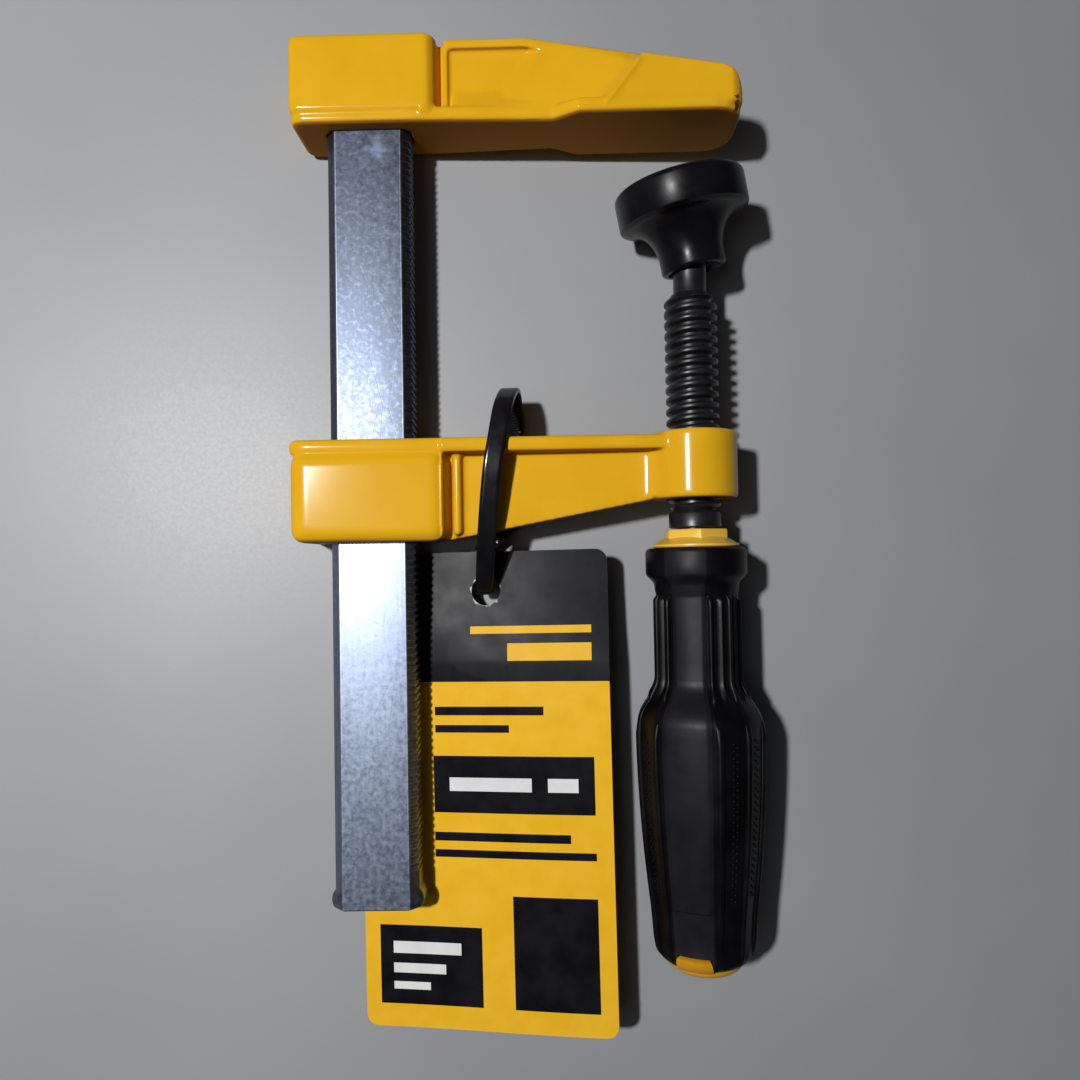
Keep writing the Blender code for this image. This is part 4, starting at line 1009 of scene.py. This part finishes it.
def make_grip_dots(rubber):
    """A zigzag row of small raised dots on each narrow panel."""
    flat = 1 - FLATTENING * (1 - math.cos(NARROW / 2))
    bm = bmesh.new()
    for group in range(3):
        for panel in (0, 1):
            middle = FIRST_RIB + group * math.tau / 3 + WIDE + NARROW * (panel + 0.5)
            for i in range(DOTS):
                drop = DOTS_START + DOT_PITCH * i
                angle = middle + (DOT_ZIGZAG if i % 2 else -DOT_ZIGZAG)
                reach = grip_radius(drop) * flat - DOT_SINK
                spot = Matrix.Translation(on_circle(reach, GRIP_TOP - drop, angle))
                matrix = HANDLE @ spot @ Matrix.Rotation(angle, 4, "Y") @ DOT_SIZE
                bmesh.ops.create_uvsphere(bm, u_segments=8, v_segments=5, radius=1, matrix=matrix)
    show("grip_dots", bm, "screw", [rubber], (), 180)


# Handle's core, measured from the top of its collar

CORE_BOTTOM = GRIP_TOP - GRIP_LENGTH - 0.0003
CORE_RADIUS = 0.0052
DOME_RADIUS = 0.0069
DOME_FALL = 0.0020
# (radius, y)
SKIRT = (
    (0.0034, -0.0012),
    (CORE_RADIUS, -0.0014),
    (0.0061, -0.0017),
    (0.0073, -0.0025),
    (0.00775, -0.0027),
    (0.0078, -0.003),
    (0.0076, -0.0032),
    (CORE_RADIUS, -0.0032),
)
# (height over the core's bottom, half angle, radius)
TONGUE = (
    (0.00002, 0.40, 0.0070),
    (0.0004, 0.40, 0.0079),
    (0.0015, 0.38, 0.00865),
    (0.0025, 0.35, 0.00885),
    (0.0028, 0.33, 0.0084),
)
HEXAGON_RADIUS = 0.0061
HEXAGON_CORNER = 0.0005
HEXAGON_BOTTOM = -0.0018
HEXAGON_LEVELS = ((HEXAGON_BOTTOM, 1), (-0.0003, 1), (-0.0001, 0.985), (0, 0.955))  # (y, share)
COLLAR_BORE = 0.0037


def core_profile():
    """The skirt, the core in the grip and the dome below it."""
    profile = [*SKIRT, (CORE_RADIUS, CORE_BOTTOM + 0.0005), (0.0066, CORE_BOTTOM + 0.0002)]
    for sine, cosine in quarter(12):
        profile.append((DOME_RADIUS * max(0, cosine) ** 0.7, CORE_BOTTOM - DOME_FALL * sine))
    return profile


def add_tongue(bm, middle):
    """One yellow tongue, which fills a notch of the grip."""
    levels = [(CORE_BOTTOM + lift, half, 0.0056, radius) for lift, half, radius in TONGUE]
    stack(bm, [wedge(bm, middle, *level, 10) for level in levels])


def add_collar(bm):
    """The hexagonal collar with its bore."""
    corners = arc(HEXAGON_RADIUS, 0, math.tau, 6)[:6]
    hexagon = rounded([(x, z, HEXAGON_CORNER) for x, z in corners], 4)
    bore = [point.normalized() * COLLAR_BORE for point in hexagon]
    levels = [[(x * share, y, z * share) for x, z in hexagon] for y, share in HEXAGON_LEVELS]
    levels += [[(x, y, z) for x, z in bore] for y in (0, HEXAGON_BOTTOM)]
    rings = [ring(bm, level, HANDLE) for level in levels]
    bridge(bm, rings + [rings[0]])


def make_core():
    """The yellow core: hexagonal collar, skirt, tongues and dome."""
    bm = bmesh.new()
    lathe(bm, core_profile(), HANDLE)
    for middle in NOTCH_MIDDLES:
        add_tongue(bm, middle)
    add_collar(bm)
    show("handle_core_trim", bm, "screw", [moulded_yellow()], ["handle_core"], 35)


# Cable tie, measured from the sliding jaw's face

# The route of the CAD's tie: down in front of the jaw, through the card's hole and up behind
TIE_POINTS = (
    (-0.0333, 0.0092, 0),
    (-0.03434, 0.00553, 0.00544),
    (-0.03538, -0.000342, 0.007072),
    (-0.03642, -0.006581, 0.007208),
    (-0.03746, -0.015756, 0.00544),
    (-0.03828, -0.022729, 0.001156),
    (-0.0388, -0.0275, -0.0029),
    (-0.0388, -0.026125, -0.0045),
    (-0.0388, -0.0194, -0.0056),
    (-0.03096, -0.011352, -0.0068),
    (-0.036472, -0.005113, -0.007072),
    (-0.03278, 0.00186, -0.00646),
    (-0.03278, 0.006631, -0.00408),
)
HEAD_PLACE = TIE_POINTS[10]
HEAD_HALF_WIDTH = 0.0021
HEAD_HALF_LENGTH = 0.0022
HEAD_SINK = 0.0011
HEAD_HEIGHT = 0.003
HEAD_CORNER = 0.0006
HEAD_BEVEL = 0.0003
STRAP_WIDTH = 0.0033
STRAP_THICKNESS = 0.0011
STRAP_STEPS = 420
STRAP_TOOTH_DEPTH = 0.00028
STRAP_TOOTH_STEPS = 4
# (share of the width, share of the thickness), of one half of the section
STRAP_SIDE = ((-0.5, -0.32), (-0.42, -0.5), (-0.3, -0.5), (0.3, -0.5), (0.42, -0.5), (0.5, -0.32))


def along_loop(points, count):
    """Places on a smooth closed line through these points."""
    total = len(points)
    made = []
    for i in range(count):
        place = i * total / count
        k = int(place)
        t = place - k
        p0, p1, p2, p3 = (Vector(points[(k + j) % total]) for j in (-1, 0, 1, 2))
        bend = 2 * p1 + (p2 - p0) * t + (2 * p0 - 5 * p1 + 4 * p2 - p3) * t**2
        made.append((bend + (3 * p1 - p0 - 3 * p2 + p3) * t**3) / 2)
    return made


def add_strap(bm):
    """The closed strap, toothed on its inner side."""
    route = along_loop(TIE_POINTS, STRAP_STEPS)
    section = STRAP_SIDE + tuple((-x, -z) for x, z in STRAP_SIDE)
    rings = []
    for i, at in enumerate(route):
        along = (route[(i + 3) % len(route)] - route[i - 3]).normalized()
        across = Vector((1, 0, 0))
        across = (across - along * across.dot(along)).normalized()
        out = along.cross(across)
        dip = STRAP_TOOTH_DEPTH if i % STRAP_TOOTH_STEPS < STRAP_TOOTH_STEPS / 2 else 0
        points = []
        for x, z in section:
            depth = z * STRAP_THICKNESS
            if z < -0.4 and abs(x) < 0.35:
                depth += dip
            points.append(at + across * x * STRAP_WIDTH + out * depth)
        rings.append(ring(bm, points, TIE_FRAME))
    bridge(bm, rings + [rings[0]])


def add_tie_head(bm):
    x, y, z = HEAD_PLACE
    low, high = z - HEAD_SINK, z - HEAD_SINK + HEAD_HEIGHT
    wide, long = HEAD_HALF_WIDTH, HEAD_HALF_LENGTH
    corners = rectangle(x - wide, y - long, x + wide, y + long)
    outline = rounded([(*corner, HEAD_CORNER) for corner in corners], 4)
    levels = ((low, HEAD_BEVEL), (low + HEAD_BEVEL, 0), (high - HEAD_BEVEL, 0), (high, HEAD_BEVEL))
    rings = []
    for level, inset in levels:
        points = []
        for px, py in outline:
            points.append((px - math.copysign(inset, px - x), py - math.copysign(inset, py - y), level))
        rings.append(ring(bm, points, TIE_FRAME))
    stack(bm, rings)


def make_tie():
    """The nylon strap and its head."""
    bm = bmesh.new()
    add_strap(bm)
    add_tie_head(bm)
    nylon = moulded_black("nylon", (0.005, 0.005, 0.006), (0.010, 0.010, 0.012), 0.18, 900, 0.00002, 0.4)
    show("tie_strap", bm, "sliding_jaw", [nylon], ["cable_tie"], 38)


# Card, measured from its hole

CARD_LEFT, CARD_RIGHT = -0.02435, 0.02275
CARD_TOP, CARD_BOTTOM = 0.0073, -0.0807
CARD_THICKNESS = 0.0005
CARD_CORNER = 0.0022
CARD_HOLE_RADIUS = 0.00275
HEADER_END = -0.0168
PRINT_OVERRUN = 0.001  # of the header's ink past the card's edges
WAVE_DEPTH = 0.00025
WAVES = 110  # radians to the metre
WAVE_FROM = -0.02  # the waves grow from here down
WAVE_GROWTH = 0.02
BEND_FROM = -0.014  # the card bends down from here to its top
BEND_SLOPE = 0.133
BEND_EASING = 2.2
BEND_BLEND = 0.002
TWIST = 0.02
TWIST_LENGTH = 0.008
YELLOW_INK, BLACK_INK, WHITE_INK, EDGE = range(4)
# Plain bars and blocks: (left, bottom, right, top, ink)
PRINT = (
    (CARD_LEFT - PRINT_OVERRUN, HEADER_END, CARD_RIGHT + PRINT_OVERRUN, CARD_TOP + PRINT_OVERRUN, BLACK_INK),
    (-0.0030, -0.0080, 0.0196, -0.0066, YELLOW_INK),
    (0.0040, -0.0130, 0.0196, -0.0098, YELLOW_INK),
    (-0.0100, -0.0230, 0.0105, -0.0214, BLACK_INK),
    (-0.0100, -0.0262, 0.0040, -0.0248, BLACK_INK),
    (-0.0105, -0.0410, 0.0196, -0.0305, BLACK_INK),
    (-0.0075, -0.0370, 0.0080, -0.0345, WHITE_INK),
    (0.0110, -0.0370, 0.0166, -0.0345, WHITE_INK),
    (-0.0105, -0.0462, 0.0150, -0.0446, BLACK_INK),
    (-0.0105, -0.0492, 0.0196, -0.0478, BLACK_INK),
    (-0.0215, -0.0765, -0.0020, -0.0620, BLACK_INK),
    (-0.0190, -0.0672, -0.0060, -0.0650, WHITE_INK),
    (-0.0190, -0.0708, -0.0090, -0.0690, WHITE_INK),
    (-0.0190, -0.0738, -0.0120, -0.0724, WHITE_INK),
    (0.0040, -0.0765, 0.0196, -0.0560, BLACK_INK),
)


def flat_card():
    """The card's outline and hole, given its thickness."""
    left = ((CARD_LEFT, CARD_TOP), (CARD_LEFT, CARD_BOTTOM))
    right = ((CARD_RIGHT, CARD_BOTTOM), (CARD_RIGHT, CARD_TOP))
    outline = rounded([(*corner, CARD_CORNER) for corner in left + right], 8)
    hole = [(y, x) for x, y in arc(CARD_HOLE_RADIUS, 0, math.tau, 48)[:48]]
    bm = bmesh.new()
    bm.from_mesh(sheet(outline, CARD_THICKNESS, hole))
    weld(bm, WELD / 2)
    return bm


def cut_lines(bm):
    """Edges along the print's borders, and even ones that let the card bend."""
    xs = {x for area in PRINT for x in (area[0], area[2])}
    ys = {y for area in PRINT for y in (area[1], area[3])}
    xs |= {CARD_LEFT + 0.003 * i for i in range(1, 16)}
    ys |= {CARD_TOP - 0.0035 * i for i in range(1, 26)}
    ys |= {CARD_TOP - 0.001 * i for i in range(1, 21)}
    for axis, values in ((Vector((1, 0, 0)), xs), (Vector((0, 1, 0)), ys)):
        for value in sorted(values):
            geometry = bm.verts[:] + bm.edges[:] + bm.faces[:]
            bmesh.ops.bisect_plane(bm, geom=geometry, plane_co=axis * value, plane_no=axis, dist=0.0000005)
    face_out(bm)


def ink_at(face):
    """The ink of a face, which on the back is only black or yellow."""
    if abs(face.normal.z) < 0.5:
        return EDGE
    at = face.calc_center_median()
    found = YELLOW_INK
    for left, low, right, high, ink in PRINT:
        printed = face.normal.z > 0 or ink == BLACK_INK
        if printed and left < at.x < right and low < at.y < high:
            found = ink
    return found


def bent(place):
    """The place on the card with its waves and its bowed, twisted header."""
    below = max(0, WAVE_FROM - place.y)
    above = max(0, place.y - BEND_FROM)
    z = place.z + WAVE_DEPTH * math.sin(place.x * WAVES) * min(1, below / WAVE_GROWTH)
    z -= (BEND_SLOPE * above - BEND_EASING * above**2) * above / (above + BEND_BLEND)
    z -= TWIST * place.x * ease(above / TWIST_LENGTH)
    return Vector((place.x, place.y, z))


def make_card():
    """The laminated card, gently bowed, with plain bars for its print."""
    bm = flat_card()
    cut_lines(bm)
    for face in bm.faces:
        face.material_index = ink_at(face)
    for vert in bm.verts:
        vert.co = CARD_FRAME @ bent(vert.co)
    inks = [
        card_ink("yellow_ink", (0.84, 0.46, 0.018), (0.88, 0.5, 0.03), 0.34),
        card_ink("black_ink", (0.006, 0.006, 0.008), (0.011, 0.011, 0.014), 0.3),
        card_ink("white_ink", (0.72, 0.72, 0.70), (0.8, 0.8, 0.78), 0.34),
        card_edge(),
    ]
    show("card", bm, "hang_tag", inks, ["hang_tag"], 30)


# Hidden pieces keep their CAD shape


def dress_hidden():
    insert = moulded_black("insert_plastic", (0.010, 0.010, 0.012), (0.018, 0.018, 0.020), 0.48)
    steel = plain_steel()
    hidden = (("lock_shoe", steel), ("lock_spring", steel), ("ball_seat", insert), ("snap_ring", insert))
    for node, material in hidden:
        NODES[node].data.materials.clear()
        NODES[node].data.materials.append(material)


# Surroundings

FLOOR_HALF = 1.5
FLOOR_GAP = 0.00002  # below the clamp's lowest point
FLOOR_MIDDLE_Y = -0.08
LENS = 28.03
LENS_PLACE = (-0.025868, -0.079095, 0.153553)  # in the clamp's frame
LENS_TURN = Euler((math.radians(1.55), math.radians(0.93), math.radians(-1.0)))


def make_floor():
    bm = bmesh.new()
    bmesh.ops.create_grid(bm, x_segments=8, y_segments=8, size=FLOOR_HALF)
    bmesh.ops.translate(bm, verts=bm.verts, vec=(0, FLOOR_MIDDLE_Y, CAD_BOX[0].z - FLOOR_GAP))
    floor = put_in_scene("floor", as_mesh(bm, "floor"))
    floor.data.materials.append(floor_paint())


def area_light(name, place, target, size, power, colour=(1, 1, 1)):
    data = bpy.data.lights.new(name, "AREA")
    data.shape = "ELLIPSE"
    data.size, data.size_y = size
    data.energy = power
    data.color = colour
    lamp = put_in_scene(name, data)
    lamp.location = place
    lamp.rotation_euler = (Vector(target) - Vector(place)).to_track_quat("-Z", "Y").to_euler()


def make_lights():
    """The photo's small lamp, a weak panel and a dim room."""
    area_light("key", (-0.207, -0.012, 0.385), (-0.04, -0.08, 0), (0.034, 0.022), 1.74)
    area_light("panel", (-0.194, -0.105, 0.48), (-0.06, -0.085, 0), (0.16, 0.16), 0.1, (0.95, 0.97, 1))
    bpy.context.scene.view_settings.view_transform = "Standard"
    world = bpy.data.worlds.new("room")
    world.use_nodes = True
    sky = world.node_tree.nodes["Background"]
    sky.inputs["Color"].default_value = (0.9, 0.93, 1, 1)
    sky.inputs["Strength"].default_value = 0.02
    bpy.context.scene.world = world


def make_camera():
    data = bpy.data.cameras.new("camera")
    data.sensor_width = 36
    data.lens = LENS
    data.clip_start = 0.005
    camera = put_in_scene("camera", data)
    camera.matrix_world = CLAMP @ Matrix.Translation(LENS_PLACE) @ LENS_TURN.to_matrix().to_4x4()
    bpy.context.scene.camera = camera


make_camera()
make_lights()
make_floor()
make_fixed_jaw()
make_sliding_jaw()
make_bar()
make_screw()
make_pad()
make_grip()
make_core()
make_tie()
make_card()
dress_hidden()

bpy.context.view_layer.update()
